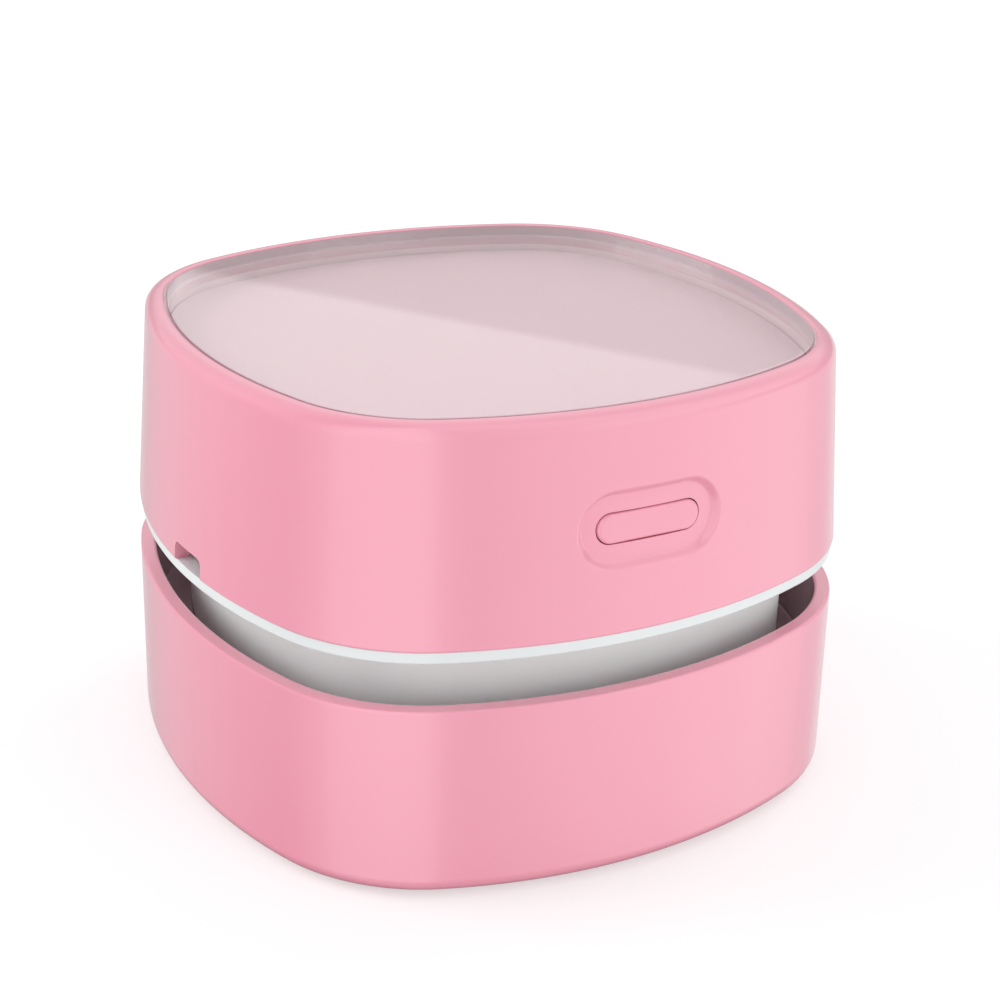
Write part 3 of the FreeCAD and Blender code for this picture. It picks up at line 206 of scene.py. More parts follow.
def painted_inside_shade(name, foot, top, deep):
    """The casings' pink, with painted shade on faces between two heights that don't look outwards."""
    material = moulded(name, PINK, PINK_ROUGHNESS, coat=1.0)
    tree = material.node_tree
    shader = tree.nodes["Principled BSDF"]
    plain_tone = shader.inputs["Base Color"].links[0].from_socket
    place = tree.nodes.new("ShaderNodeTexCoord")
    flatten = math_node(tree, "MULTIPLY", (1, 1, 0), "ShaderNodeVectorMath")
    outward = math_node(tree, "NORMALIZE", None, "ShaderNodeVectorMath")
    facing = math_node(tree, "DOT_PRODUCT", None, "ShaderNodeVectorMath")
    looks_in = add_node(tree, "ShaderNodeMapRange", From_Min=0.1, From_Max=0.4, To_Min=1.0, To_Max=0.0)
    split = tree.nodes.new("ShaderNodeSeparateXYZ")
    above = add_node(tree, "ShaderNodeMapRange", From_Min=foot, From_Max=foot + FADE)
    below = add_node(tree, "ShaderNodeMapRange", From_Min=top - FADE, From_Max=top, To_Min=1.0,
                     To_Max=0.0)
    between = math_node(tree, "MULTIPLY")
    inside = math_node(tree, "MULTIPLY")
    tone = colour_mix(tree, None, deep)
    tree.links.new(plain_tone, tone.inputs["A"])
    wire(tree, (place, "Object", flatten, 0), (flatten, "Vector", outward, 0),
         (outward, "Vector", facing, 0), (place, "Normal", facing, 1),
         (facing, "Value", looks_in, "Value"), (place, "Object", split, "Vector"),
         (split, "Z", above, "Value"), (split, "Z", below, "Value"), (above, "Result", between, 0),
         (below, "Result", between, 1), (between, 0, inside, 0), (looks_in, "Result", inside, 1),
         (inside, 0, tone, "Factor"), (tone, "Result", shader, "Base Color"))
    return material


# The bin's inside: painted shade, darker, for the shade deep in the bowl.
bin_pink_painted_shade = painted_inside_shade("bin_pink_painted_shade", 2.6 * MM, 24.7 * MM, linear(150, 112, 122))
# The well under the clear panel: painted shade, greyer than the walls.
head_pink_painted_shade = painted_inside_shade("head_pink_painted_shade", 52.6 * MM, 58.3 * MM, linear(208, 187, 192))
print("deeper inside:", bin_pink_painted_shade.name, "and", head_pink_painted_shade.name)

# %% [markdown]
# The clear top is a sheet of acrylic, polished on both sides. A sheet this thin hardly moves what is seen
# through it, so its body lets light straight through and only its surface, a clear coat, mirrors the room.
# Its edges are a little darker, and on the upper one a dark line is painted for rays from the camera only:
# painted shade for the dark gap at the panel's edge.
# Rays to a lamp would stop at the sheet, so they pass through a Transparent shader instead.

# %% Clear acrylic
def clear_sheet(name, tint, edge_tint, painted_line_shade, line_foot):
    """Clear acrylic, darker through its edges, with a painted shade line on the edge above a height."""
    material, tree, shader = new_material(name)
    place = tree.nodes.new("ShaderNodeTexCoord")
    normal_parts = tree.nodes.new("ShaderNodeSeparateXYZ")
    flatness = math_node(tree, "ABSOLUTE")
    tone = colour_mix(tree, edge_tint, tint)
    path = tree.nodes.new("ShaderNodeLightPath")
    place_parts = tree.nodes.new("ShaderNodeSeparateXYZ")
    # Painted shade: a dark line on the steep upper edge, seen by camera rays only.
    above = add_node(tree, "ShaderNodeMapRange", From_Min=line_foot, From_Max=line_foot + 0.1 * MM)
    steep = add_node(tree, "ShaderNodeMapRange", From_Min=0.6, From_Max=0.9, To_Min=1.0, To_Max=0.0)
    on_edge = math_node(tree, "MULTIPLY")
    looked_at = math_node(tree, "MULTIPLY")
    painted_line = colour_mix(tree, None, painted_line_shade)
    through = tree.nodes.new("ShaderNodeBsdfTransparent")
    mix = tree.nodes.new("ShaderNodeMixShader")
    wire(tree, (place, "Normal", normal_parts, "Vector"), (normal_parts, "Z", flatness, 0),
         (flatness, 0, tone, "Factor"), (place, "Object", place_parts, "Vector"),
         (place_parts, "Z", above, "Value"), (flatness, 0, steep, "Value"),
         (above, "Result", on_edge, 0), (steep, "Result", on_edge, 1), (on_edge, 0, looked_at, 0),
         (path, "Is Camera Ray", looked_at, 1), (looked_at, 0, painted_line, "Factor"),
         (tone, "Result", painted_line, "A"), (painted_line, "Result", shader, "Base Color"),
         (tone, "Result", through, "Color"), (path, "Is Shadow Ray", mix, 0), (shader, "BSDF", mix, 1),
         (through, "BSDF", mix, 2), (mix, "Shader", tree.nodes["Material Output"], "Surface"))
    set_inputs(shader, Roughness=0.0, IOR=1.0, Transmission_Weight=1.0, Coat_Weight=1.0, Coat_IOR=1.49,
               Coat_Roughness=0.01)
    return material


# The last colour is the painted shade line on the panel's upper edge.
finishes["clear_acrylic"] = clear_sheet("clear_acrylic", linear(243, 240, 240), linear(226, 226, 228),
                                        linear(140, 85, 105), 57.5 * MM)
print("clear material:", finishes["clear_acrylic"].name)

# %% [markdown]
# Metals: drawn steel for the motor can, plated screws, sintered bronze, brass contacts. Each has fine
# scratches, which are a noise stretched along one axis, so that its glints run one way.

# %% Metals
def metal(name, colour, roughness):
    """Metal with fine scratches along the upright axis."""
    material, tree, shader = new_material(name)
    place = tree.nodes.new("ShaderNodeTexCoord")
    stretch = add_node(tree, "ShaderNodeMapping", Scale=(900.0, 900.0, 40.0))
    scratch = add_node(tree, "ShaderNodeTexNoise", Scale=1.0, Detail=3.0)
    gloss = add_node(tree, "ShaderNodeMapRange", To_Min=roughness * 0.7, To_Max=roughness * 1.3)
    bump = add_node(tree, "ShaderNodeBump", Strength=0.05, Distance=0.05 * MM)
    wire(tree, (place, "Object", stretch, "Vector"), (stretch, "Vector", scratch, "Vector"),
         (scratch, "Fac", gloss, "Value"), (gloss, "Result", shader, "Roughness"),
         (scratch, "Fac", bump, "Height"), (bump, "Normal", shader, "Normal"))
    set_inputs(shader, Base_Color=colour, Metallic=1.0)
    return material


METALS = {
    "motor_steel": (linear(205, 205, 208), 0.3),
    "screw_steel": (linear(196, 198, 202), 0.32),
    "port_steel": (linear(188, 190, 194), 0.25),
    "bearing_bronze": (linear(190, 150, 105), 0.45),
    "contact_brass": (linear(222, 188, 112), 0.28),
}
finishes.update({name: metal(name, *look) for name, look in METALS.items()})
print("metals:", ", ".join(METALS))

# %% [markdown]
# Felt and filter cloth are mats of short fibres. A noise with much fine detail makes the nap in colour and
# bump, and a little sheen catches light at grazing angles.

# %% Felt
def felt(name, colour):
    """A mat of short fibres."""
    material, tree, shader = new_material(name)
    place = tree.nodes.new("ShaderNodeTexCoord")
    nap = add_node(tree, "ShaderNodeTexNoise", Scale=700.0, Detail=6.0, Roughness=0.75)
    tone = colour_mix(tree, tuple(c * 0.7 for c in colour[:3]) + (1,), colour)
    bump = add_node(tree, "ShaderNodeBump", Strength=0.5, Distance=0.2 * MM)
    wire(tree, (place, "Object", nap, "Vector"), (nap, "Fac", tone, "Factor"),
         (tone, "Result", shader, "Base Color"), (nap, "Fac", bump, "Height"),
         (bump, "Normal", shader, "Normal"))
    set_inputs(shader, Roughness=0.9, Sheen_Weight=0.3)
    return material


finishes["filter_felt"] = felt("filter_cloth", linear(238, 238, 232))
finishes["felt_pad"] = felt("pad_felt", linear(150, 150, 148))

# %% [markdown]
# A circuit board is glass cloth under a green solder mask, with copper tracks that show faintly through it.
# A brick texture at a fine scale stands for the tracks and the bare strips between them.

# %% Circuit board
def solder_mask(name):
    """Green solder mask over copper tracks."""
    material, tree, shader = new_material(name)
    place = tree.nodes.new("ShaderNodeTexCoord")
    tracks = add_node(tree, "ShaderNodeTexBrick", Scale=420.0, Mortar_Size=0.08, Color1=linear(18, 82, 44),
                      Color2=linear(22, 92, 50), Mortar=linear(46, 128, 72))
    wire(tree, (place, "Object", tracks, "Vector"), (tracks, "Color", shader, "Base Color"))
    set_inputs(shader, Roughness=0.35)
    return material


finishes["board_green"] = solder_mask("board_green")

# %% [markdown]
# Every piece of the construction gets its finish here by the name of its material slot. The pieces whose
# shape is right as it is, such as the motor and the boards, are then done.

# %% Finish the construction's own pieces
for node in nodes.values():
    for material_slot in node.material_slots:
        slot_name = material_slot.material.name.split(".")[0]
        material_slot.material = finishes[slot_name]
print("pieces finished:", len(nodes))

# %% [markdown]
# The plan of the cleaner is a square with bulging sides: four shallow side arcs meet four tighter corner
# arcs without a kink. Every wall follows that same line at some distance, so one function gives them all.
# Points lie closer together where the button sits, because the dish round it needs a finer mesh.

# %% Plan outline
HALF_WIDTH = 43.0 * MM
SIDE_RADIUS = 70.5 * MM
CORNER_RADIUS = 24.0 * MM
AWAY = SIDE_RADIUS - HALF_WIDTH
SPREAD = SIDE_RADIUS - CORNER_RADIUS
NEAR = (math.sqrt(2 * SPREAD ** 2 - AWAY ** 2) - AWAY) / 2
MEET = math.atan2(NEAR, NEAR + AWAY)
SIDE_STEPS = 36
CORNER_STEPS = 28
FINE_REACH = 10.6 * MM
FINE_HALF = math.asin(FINE_REACH / SIDE_RADIUS)
FINE_STEPS = 140
COARSE_STEPS = 12
FRONT_QUARTER = 3


def side_angles(fine):
    """Angles of a side arc's points about its middle, without the last one."""
    if not fine:
        return [-MEET + 2 * MEET * i / SIDE_STEPS for i in range(SIDE_STEPS)]
    coarse = (MEET - FINE_HALF) / COARSE_STEPS
    before = [-MEET + coarse * i for i in range(COARSE_STEPS)]
    middle = [-FINE_HALF + 2 * FINE_HALF * i / FINE_STEPS for i in range(FINE_STEPS)]
    return before + middle + [FINE_HALF + coarse * i for i in range(COARSE_STEPS)]


def outline_points(offset=0.0, fine_front=False):
    """Points of the plan outline at an offset, counter-clockwise."""
    points = []
    for quarter in range(4):
        heading = quarter * math.pi / 2
        along = Vector((math.cos(heading), math.sin(heading)))
        across = Vector((-along.y, along.x))
        for angle in side_angles(fine_front and quarter == FRONT_QUARTER):
            out = along * math.cos(angle) + across * math.sin(angle)
            points.append(along * -AWAY + out * (SIDE_RADIUS + offset))
        for i in range(CORNER_STEPS):
            angle = MEET + (math.pi / 2 - 2 * MEET) * i / CORNER_STEPS
            out = along * math.cos(angle) + across * math.sin(angle)
            points.append((along + across) * NEAR + out * (CORNER_RADIUS + offset))
    return points


def closed_line(name, points):
    """A closed curve through flat points, as an object that a tree can read."""
    data = bpy.data.curves.new(name, "CURVE")
    data.dimensions = "3D"
    line = data.splines.new("POLY")
    line.points.add(len(points) - 1)
    for spot, (x, y) in zip(line.points, points):
        spot.co = (x, y, 0, 1)
    line.use_cyclic_u = True
    return placed(name, data)


plain_rail = closed_line("plain_rail", outline_points())
front_rail = closed_line("front_rail", outline_points(fine_front=True))
print("outline points:", len(outline_points()), "and", len(outline_points(fine_front=True)))

# %% [markdown]
# A casing is a section swept round that outline. The section is a closed polygon whose corners are rounded:
# a moulded edge is never sharp, and the small round is what catches the light. A short straight hold beside
# each round keeps the flats flat when they are shaded smooth.

# %% Rounded sections
ROUND_STEPS = 7
HOLD = 0.15 * MM


def rounded(corners, closed=True):
    """Points of a section given as (distance out, height, radius), in millimetres."""
    spots = [Vector((x * MM, z * MM)) for x, z, _ in corners]
    made = []
    for i, here in enumerate(spots):
        radius = corners[i][2] * MM
        if radius == 0 or not closed and i in (0, len(spots) - 1):
            made.append(here)
            continue
        before, after = spots[i - 1], spots[(i + 1) % len(spots)]
        back, ahead = (before - here).normalized(), (after - here).normalized()
        half_turn = back.angle(ahead) / 2
        setback = radius / math.tan(half_turn)
        centre = here + (back + ahead).normalized() * (radius / math.sin(half_turn))
        start, end = here + back * setback, here + ahead * setback
        first = math.atan2(start.y - centre.y, start.x - centre.x)
        last = math.atan2(end.y - centre.y, end.x - centre.x)
        sweep = (last - first + math.pi) % (2 * math.pi) - math.pi
        made.append(start + back * min(HOLD, ((before - here).length - setback) / 4))
        for step in range(ROUND_STEPS + 1):
            angle = first + sweep * step / ROUND_STEPS
            made.append(centre + Vector((math.cos(angle), math.sin(angle))) * radius)
        made.append(end + ahead * min(HOLD, ((after - here).length - setback) / 4))
    return made

# %% [markdown]
# The sweep is a Geometry Nodes tree, because one rule makes every ring-shaped casing: Curve to Mesh carries
# a section round the outline, with the curve's normal kept level. A sweep turns a section's second axis
# down, so heights go in negated.

# %% Sweep tree
def new_tree(name, **inputs):
    """A Geometry Nodes tree with named inputs and one geometry output."""
    tree = bpy.data.node_groups.new(name, "GeometryNodeTree")
    for label, kind in inputs.items():
        tree.interface.new_socket(label, in_out="INPUT", socket_type="NodeSocket" + kind)
    tree.interface.new_socket("Geometry", in_out="OUTPUT", socket_type="NodeSocketGeometry")
    return tree, tree.nodes.new("NodeGroupInput"), tree.nodes.new("NodeGroupOutput")


def close_tree(tree, start, end, giver, output):
    """Ends a tree: plain mesh instead of instances, then the finish."""
    realize = tree.nodes.new("GeometryNodeRealizeInstances")
    finish = tree.nodes.new("GeometryNodeSetMaterial")
    wire(tree, (giver, output, realize, "Geometry"), (realize, "Geometry", finish, "Geometry"),
         (start, "Finish", finish, "Material"), (finish, "Geometry", end, "Geometry"))


sweep_tree, tree_start, tree_end = new_tree(
    "sweep_round_outline", Outline="Object", Section="Object", Finish="Material")
rail_info = sweep_tree.nodes.new("GeometryNodeObjectInfo")
section_info = sweep_tree.nodes.new("GeometryNodeObjectInfo")
level_normal = sweep_tree.nodes.new("GeometryNodeSetCurveNormal")
level_normal.mode = "Z_UP"
carry = sweep_tree.nodes.new("GeometryNodeCurveToMesh")
smooth = sweep_tree.nodes.new("GeometryNodeSetShadeSmooth")
wire(sweep_tree, (tree_start, "Outline", rail_info, "Object"),
     (tree_start, "Section", section_info, "Object"), (rail_info, "Geometry", level_normal, "Curve"),
     (level_normal, "Curve", carry, "Curve"), (section_info, "Geometry", carry, "Profile Curve"),
     (carry, "Mesh", smooth, "Geometry"))
close_tree(sweep_tree, tree_start, tree_end, smooth, "Geometry")


def grown(tree, name, **values):
    """Runs a tree with its inputs set and keeps the result as a plain mesh object."""
    carrier = placed(name + "_carrier", bpy.data.meshes.new(name + "_carrier"))
    modifier = carrier.modifiers.new("nodes", "NODES")
    modifier.node_group = tree
    for item in tree.interface.items_tree:
        if item.in_out == "INPUT":
            modifier[item.identifier] = values[item.name]
    depsgraph = bpy.context.evaluated_depsgraph_get()
    mesh = bpy.data.meshes.new_from_object(carrier.evaluated_get(depsgraph))
    mesh.name = name
    bpy.data.objects.remove(carrier)
    return placed(name, mesh)


def face_outwards(piece):
    """Turns the faces of a closed mesh outwards."""
    work = bmesh.new()
    work.from_mesh(piece.data)
    bmesh.ops.recalc_face_normals(work, faces=work.faces)
    if work.calc_volume(signed=True) < 0:
        bmesh.ops.reverse_faces(work, faces=work.faces)
    work.to_mesh(piece.data)
    work.free()


SHARP = math.radians(35)


def shade_smooth(mesh):
    """Smooth shading, with hard edges where faces meet at a steep angle."""
    mesh.polygons.foreach_set("use_smooth", [True] * len(mesh.polygons))
    mesh.set_sharp_from_angle(angle=SHARP)


def swept(name, section, finish, rail=plain_rail):
    """A ring-shaped casing: a section swept round the plan outline."""
    line = closed_line(name + "_section", [(spot.x, -spot.y) for spot in section])
    made = grown(sweep_tree, name, Outline=rail, Section=line, Finish=finish)
    bpy.data.objects.remove(line)
    face_outwards(made)
    made.data.set_sharp_from_angle(angle=SHARP)
    return made


def settle(piece, body, slot, *replaced):
    """Hangs a piece on its body and hides the pieces that it stands for. The slot is not used."""
    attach(piece, body)
    if replaced:
        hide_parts(*replaced)
    print(piece.name, "faces:", len(piece.data.polygons))

# %% [markdown]
# The dust bin is a bowl with a slight draft, so that it leaves its mould, and a generous round at the foot.
# Inside it has a shelf that the head stands on and a lip that carries the base plate.

# %% Dust bin
dust_bin_section = rounded([
    (0.45, 0.6, 2.0), (0.2, 25.0, 0.4), (-1.8, 25.0, 0.4), (-1.8, 15.0, 0.3), (-8.8, 15.0, 0.3),
    (-8.8, 13.5, 0.3), (-1.55, 13.5, 0.5), (-1.55, 4.6, 0.6), (-11.3, 4.6, 0.3), (-11.3, 2.6, 0.2),
    (-4.85, 2.6, 0.2), (-4.85, 0.6, 0.4)])
dust_bin = swept("dust_bin", dust_bin_section, bin_pink_painted_shade)
settle(dust_bin, "bin", "casing_pink", "lower_shell")

# %% [markdown]
# The head's casing has drafted walls and a round at the top that turns into the rim of a well. The clear
# panel lies on the well's ledge and the pale plate under it closes the well. Where the dish will be, the
# front wall gets rows of points that lie close together.

# %% Head casing
FOOT_LEVEL, TOP_LEVEL = 32.3, 58.5
HEAD_DRAFT = 2.0


def wall_offset(level):
    """How far the head's outer wall stands from the outline at a height, in millimetres."""
    return -HEAD_DRAFT * (level - FOOT_LEVEL) / (TOP_LEVEL - FOOT_LEVEL)


LOW_ROWS, FINE_ROWS, HIGH_ROWS = (34.0, 0.7, 8), (39.4, 0.15, 73), (50.9, 0.9, 5)
wall_levels = [foot + pitch * i for foot, pitch, count in (LOW_ROWS, FINE_ROWS, HIGH_ROWS)
               for i in range(count)]
wall_rows = [(wall_offset(z), z, 0) for z in wall_levels]
head_section = rounded(
    [(0.0, FOOT_LEVEL, 0.3)] + wall_rows + [
        (-HEAD_DRAFT, TOP_LEVEL, 2.0), (-4.4, TOP_LEVEL, 0.25), (-4.4, 57.0, 0.1), (-5.0, 57.0, 0.15),
        (-5.0, 53.45, 0.1), (-7.7, 53.45, 0.1), (-7.7, 52.5, 0.1), (-3.54, 52.5, 0),
        (-2.0, FOOT_LEVEL, 0.2)])
head_casing = swept("head_casing", head_section, head_pink_painted_shade, front_rail)
print("head casing points:", len(head_casing.data.vertices))

# %% [markdown]
# The button sits in a shallow dish that follows the wall, with a soft slope all round. A cut with a hard
# edge would look stamped, so the fine points are pushed inwards instead, by a smooth step on their distance
# from a pill-shaped line.

# %% Button dish
BUTTON_LEVEL = 44.8 * MM
DISH_LENGTH, DISH_HEIGHT, DISH_DEPTH = 18.7 * MM, 9.3 * MM, 0.85 * MM
SLOPE_OUTSIDE, SLOPE_INSIDE = 0.2 * MM, 0.75 * MM
BUTTON_LENGTH, BUTTON_HEIGHT = 13.5 * MM, 3.55 * MM
FRONT_ONLY = -38 * MM
DISH_FOOT, DISH_TOP = 39.5 * MM, 50.1 * MM
ON_WALL = 0.1 * MM


def pill_distance(x, z, length, height):
    """Distance outside a pill's edge on the front wall, negative inside it."""
    past_end = np.maximum(np.abs(x) - (length - height) / 2, 0)
    return np.hypot(past_end, z - BUTTON_LEVEL) - height / 2


def wall_front(x, z):
    """Where the head's front wall lies along Y at a place on it."""
    reach = SIDE_RADIUS - HEAD_DRAFT * MM * (z / MM - FOOT_LEVEL) / (TOP_LEVEL - FOOT_LEVEL)
    return AWAY - np.sqrt(reach ** 2 - x ** 2)


def dish_depth(x, z):
    """How deep the dish is at a place on the front wall."""
    distance = pill_distance(x, z, DISH_LENGTH, DISH_HEIGHT)
    share = np.clip((SLOPE_OUTSIDE - distance) / (SLOPE_OUTSIDE + SLOPE_INSIDE), 0, 1)
    return DISH_DEPTH * share * share * (3 - 2 * share)


places = np.array([v.co for v in head_casing.data.vertices])
x, y, z = places.T
on_wall = (y < FRONT_ONLY) & (np.abs(x) < FINE_REACH) & (z > DISH_FOOT) & (z < DISH_TOP)
on_wall &= np.abs(y - wall_front(x, z)) < ON_WALL
places[on_wall, 1] += dish_depth(x[on_wall], z[on_wall])
head_casing.data.vertices.foreach_set("co", places.ravel())
head_casing.data.update()
print("points in the dish:", int(on_wall.sum()))

# %% [markdown]
# The button's hole and the charging port's notch go right through the wall. One cutter does both: loops of
# matching points, joined one to the next. Its Boolean is applied at once, so the piece stays a plain mesh.

# %% Hole and notch
BUTTON_GAP = 0.14 * MM
PORT_PLACE, PORT_WIDTH, PORT_TOP = -5.5 * MM, 7.3 * MM, 34.9 * MM
PORT_ROUND = 1.0 * MM
PORT_FOOT = 30 * MM
OUTSIDE, HOLE_END, NOTCH_END = -46 * MM, -36 * MM, -38 * MM
PILL_STEPS, NOTCH_STEPS = 24, 8


def pill_loop(length, height):
    """Points of a pill about the button's middle, as (x, z)."""
    radius, reach = height / 2, (length - height) / 2
    loop = []
    for side in (1, -1):
        for i in range(PILL_STEPS + 1):
            angle = side * (-math.pi / 2) + math.pi * i / PILL_STEPS
            loop.append((side * reach + radius * math.cos(angle), BUTTON_LEVEL + radius * math.sin(angle)))
    return loop


def loop_skin(work, loops):
    """Joins loops of matching points into a closed skin with a face at each end."""
    rows = [[work.verts.new(p) for p in loop] for loop in loops]
    count = len(rows[0])
    for low, high in zip(rows, rows[1:]):
        for i in range(count):
            j = (i + 1) % count
            work.faces.new((low[i], low[j], high[j], high[i]))
    work.faces.new(rows[0])
    work.faces.new(rows[-1])


def notch_loop(x):
    """The port notch's section at one x: square below the wall's foot, rounded above."""
    left, right = PORT_PLACE - PORT_WIDTH / 2, PORT_PLACE + PORT_WIDTH / 2
    loop = [(x, left, PORT_FOOT), (x, right, PORT_FOOT)]
    for centre_y, start in ((right - PORT_ROUND, 0), (left + PORT_ROUND, math.pi / 2)):
        for i in range(NOTCH_STEPS + 1):
            angle = start + math.pi / 2 * i / NOTCH_STEPS
            loop.append((x, centre_y + PORT_ROUND * math.cos(angle),
                         PORT_TOP - PORT_ROUND + PORT_ROUND * math.sin(angle)))
    return loop


def mesh_of(name, work):
    """The mesh of some finished building work, with its faces turned one way."""
    bmesh.ops.recalc_face_normals(work, faces=work.faces)
    mesh = bpy.data.meshes.new(name)
    work.to_mesh(mesh)
    work.free()
    return mesh


work = bmesh.new()
hole = pill_loop(BUTTON_LENGTH + 2 * BUTTON_GAP, BUTTON_HEIGHT + 2 * BUTTON_GAP)
loop_skin(work, [[(px, py, pz) for px, pz in hole] for py in (OUTSIDE, HOLE_END)])
loop_skin(work, [notch_loop(OUTSIDE), notch_loop(NOTCH_END)])
cutter = placed("cutter", mesh_of("cutter", work))
cut = head_casing.modifiers.new("cut", "BOOLEAN")
cut.operation = "DIFFERENCE"
cut.solver = "EXACT"
cut.object = cutter
depsgraph = bpy.context.evaluated_depsgraph_get()
cut_mesh = bpy.data.meshes.new_from_object(head_casing.evaluated_get(depsgraph))
head_casing.modifiers.clear()
head_casing.data = cut_mesh
bpy.data.objects.remove(cutter)
shade_smooth(head_casing.data)
settle(head_casing, "head", "casing_pink", "upper_shell")

# %% [markdown]
# The button is a pill cap with a softly rounded edge and a face that follows the wall, a flange behind the
# wall that keeps it in, and a stem. They are joined loops as well.

# %% Power button
CAP_RECESS = 0.55 * MM
CAP_ROUND = 0.35 * MM
FLANGE_MARGIN = 1.2 * MM
FLANGE_FRONT, FLANGE_BACK, STEM_BACK = -39.35 * MM, -38.35 * MM, -36.55 * MM
FACE_INSETS = (0.5, 0.9, 1.3, 1.6, 1.74)
STEM_RADIUS = 2.2 * MM
STEM_STEPS = 32


def cap_loop(inset, depth, flat=None):
    """A loop of the button's cap: inset from its edge, and a depth behind its face or a flat place."""
    spots = pill_loop(BUTTON_LENGTH - 2 * inset, BUTTON_HEIGHT - 2 * inset)
    if flat is not None:
        return [(px, flat, pz) for px, pz in spots]
    return [(px, wall_front(px, pz) + CAP_RECESS + depth, pz) for px, pz in spots]


work = bmesh.new()
cap_loops = [cap_loop(-FLANGE_MARGIN, 0, FLANGE_BACK), cap_loop(-FLANGE_MARGIN, 0, FLANGE_FRONT),
             cap_loop(0, 0, FLANGE_FRONT), cap_loop(0, CAP_ROUND + HOLD)]
for i in range(ROUND_STEPS + 1):
    angle = math.pi / 2 * i / ROUND_STEPS
    cap_loops.append(cap_loop(CAP_ROUND * (1 - math.cos(angle)), CAP_ROUND * (1 - math.sin(angle))))
cap_loops += [cap_loop(inset * MM, 0) for inset in FACE_INSETS]
loop_skin(work, cap_loops)
turns = [2 * math.pi * i / STEM_STEPS for i in range(STEM_STEPS)]
circle = [(STEM_RADIUS * math.cos(turn), BUTTON_LEVEL + STEM_RADIUS * math.sin(turn)) for turn in turns]
loop_skin(work, [[(px, py, pz) for px, pz in circle] for py in (STEM_BACK, FLANGE_BACK - HOLD)])
button_mesh = mesh_of("button_cap", work)
button_mesh.materials.append(finishes["casing_pink"])
shade_smooth(button_mesh)
button_cap = placed("button_cap", button_mesh)
settle(button_cap, "power_button", "casing_pink", "power_button")

# %% [markdown]
# A narrow pale band parts the head from the waist, and a soft ring under the neck seals it on the bin's
# shelf. Both are the same sweep with a small section.

# %% Trim band and seal
band_section = rounded([(-0.25, 30.8, 0.3), (-0.25, 32.3, 0.1), (-2.3, 32.3, 0.1), (-2.3, 30.8, 0.1)])
trim_ring = swept("trim_ring", band_section, finishes["trim_white"])
settle(trim_ring, "head", "trim_white", "trim_band")
seal_section = rounded([(-6.4, 15.0, 0.15), (-6.4, 15.8, 0.15), (-8.0, 15.8, 0.15), (-8.0, 15.0, 0.15)])
seal_ring = swept("seal_ring", seal_section, finishes["soft_rubber"])
settle(seal_ring, "head", "soft_rubber", "neck_seal")

# %% [markdown]
# The clear panel and the pale plate are flat sheets with the outline's shape. Loops of outline points at
# the section's offsets and heights, joined as for the button, make a sheet with a polished round edge.

# %% Clear panel and pale plate
def sheet_piece(name, section, finish):
    """A flat sheet: its edge is an open section, and a face closes it above and below."""
    work = bmesh.new()
    loop_skin(work, [[(p.x, p.y, spot.y) for p in outline_points(spot.x)] for spot in section])
    mesh = mesh_of(name, work)
    mesh.materials.append(finish)
    shade_smooth(mesh)
    return placed(name, mesh)


panel_section = rounded([(-4.9, 57.03, 0), (-4.6, 57.03, 0.1), (-4.6, TOP_LEVEL, 0.3),
                         (-5.3, TOP_LEVEL, 0)], closed=False)
top_panel = sheet_piece("top_panel", panel_section, finishes["clear_acrylic"])
settle(top_panel, "head", "clear_acrylic", "clear_panel")
plate_section = rounded([(-5.7, 53.5, 0), (-5.1, 53.5, 0.2), (-5.1, 54.95, 0.1), (-5.7, 54.95, 0)],
                        closed=False)
pale_plate = sheet_piece("pale_plate", plate_section, finishes["plate_pale"])
settle(pale_plate, "head", "plate_pale", "deck_plate")

# %% [markdown]
# The brush is a ring of tufts, each a bundle of nylon filaments that lean a little each way. The tree puts
# a small grid of points on every point of a circle, moves each by a seeded random step, and stands a thin
# six-sided filament on it. Six sides are enough for a hair's width.

# %% Bristle tree
STRAY = 0.14 * MM


def lifted(tree, giver, output, height, socket):
    """A node that lifts geometry by a height that another node gives."""
    move = tree.nodes.new("GeometryNodeTransform")
    offset = tree.nodes.new("ShaderNodeCombineXYZ")
    wire(tree, (giver, output, move, "Geometry"), (height, socket, offset, "Z"),
         (offset, "Vector", move, "Translation"))
    return move


bristle_tree, tree_start, tree_end = new_tree(
    "bristle_ring", Ring_Radius="Float", Tufts="Int", Tuft_Width="Float", Filaments_Across="Int",
    Filament_Radius="Float", Filament_Length="Float", Lean="Float", Level="Float", Seed="Int",
    Finish="Material")
ring_spots = bristle_tree.nodes.new("GeometryNodeMeshCircle")
cluster = bristle_tree.nodes.new("GeometryNodeMeshGrid")
on_ring = bristle_tree.nodes.new("GeometryNodeInstanceOnPoints")
all_spots = bristle_tree.nodes.new("GeometryNodeRealizeInstances")
step_aside = bristle_tree.nodes.new("FunctionNodeRandomValue")
step_aside.data_type = "FLOAT_VECTOR"
set_inputs(step_aside, Min=(-STRAY, -STRAY, 0), Max=(STRAY, STRAY, 0))
move = bristle_tree.nodes.new("GeometryNodeSetPosition")
filament = add_node(bristle_tree, "GeometryNodeMeshCylinder", Vertices=6)
lean = bristle_tree.nodes.new("FunctionNodeRandomValue")
lean.data_type = "FLOAT_VECTOR"
lean_low = bristle_tree.nodes.new("ShaderNodeCombineXYZ")
lean_high = bristle_tree.nodes.new("ShaderNodeCombineXYZ")
lean_back = math_node(bristle_tree, "MULTIPLY", -1.0)
stand = bristle_tree.nodes.new("GeometryNodeInstanceOnPoints")
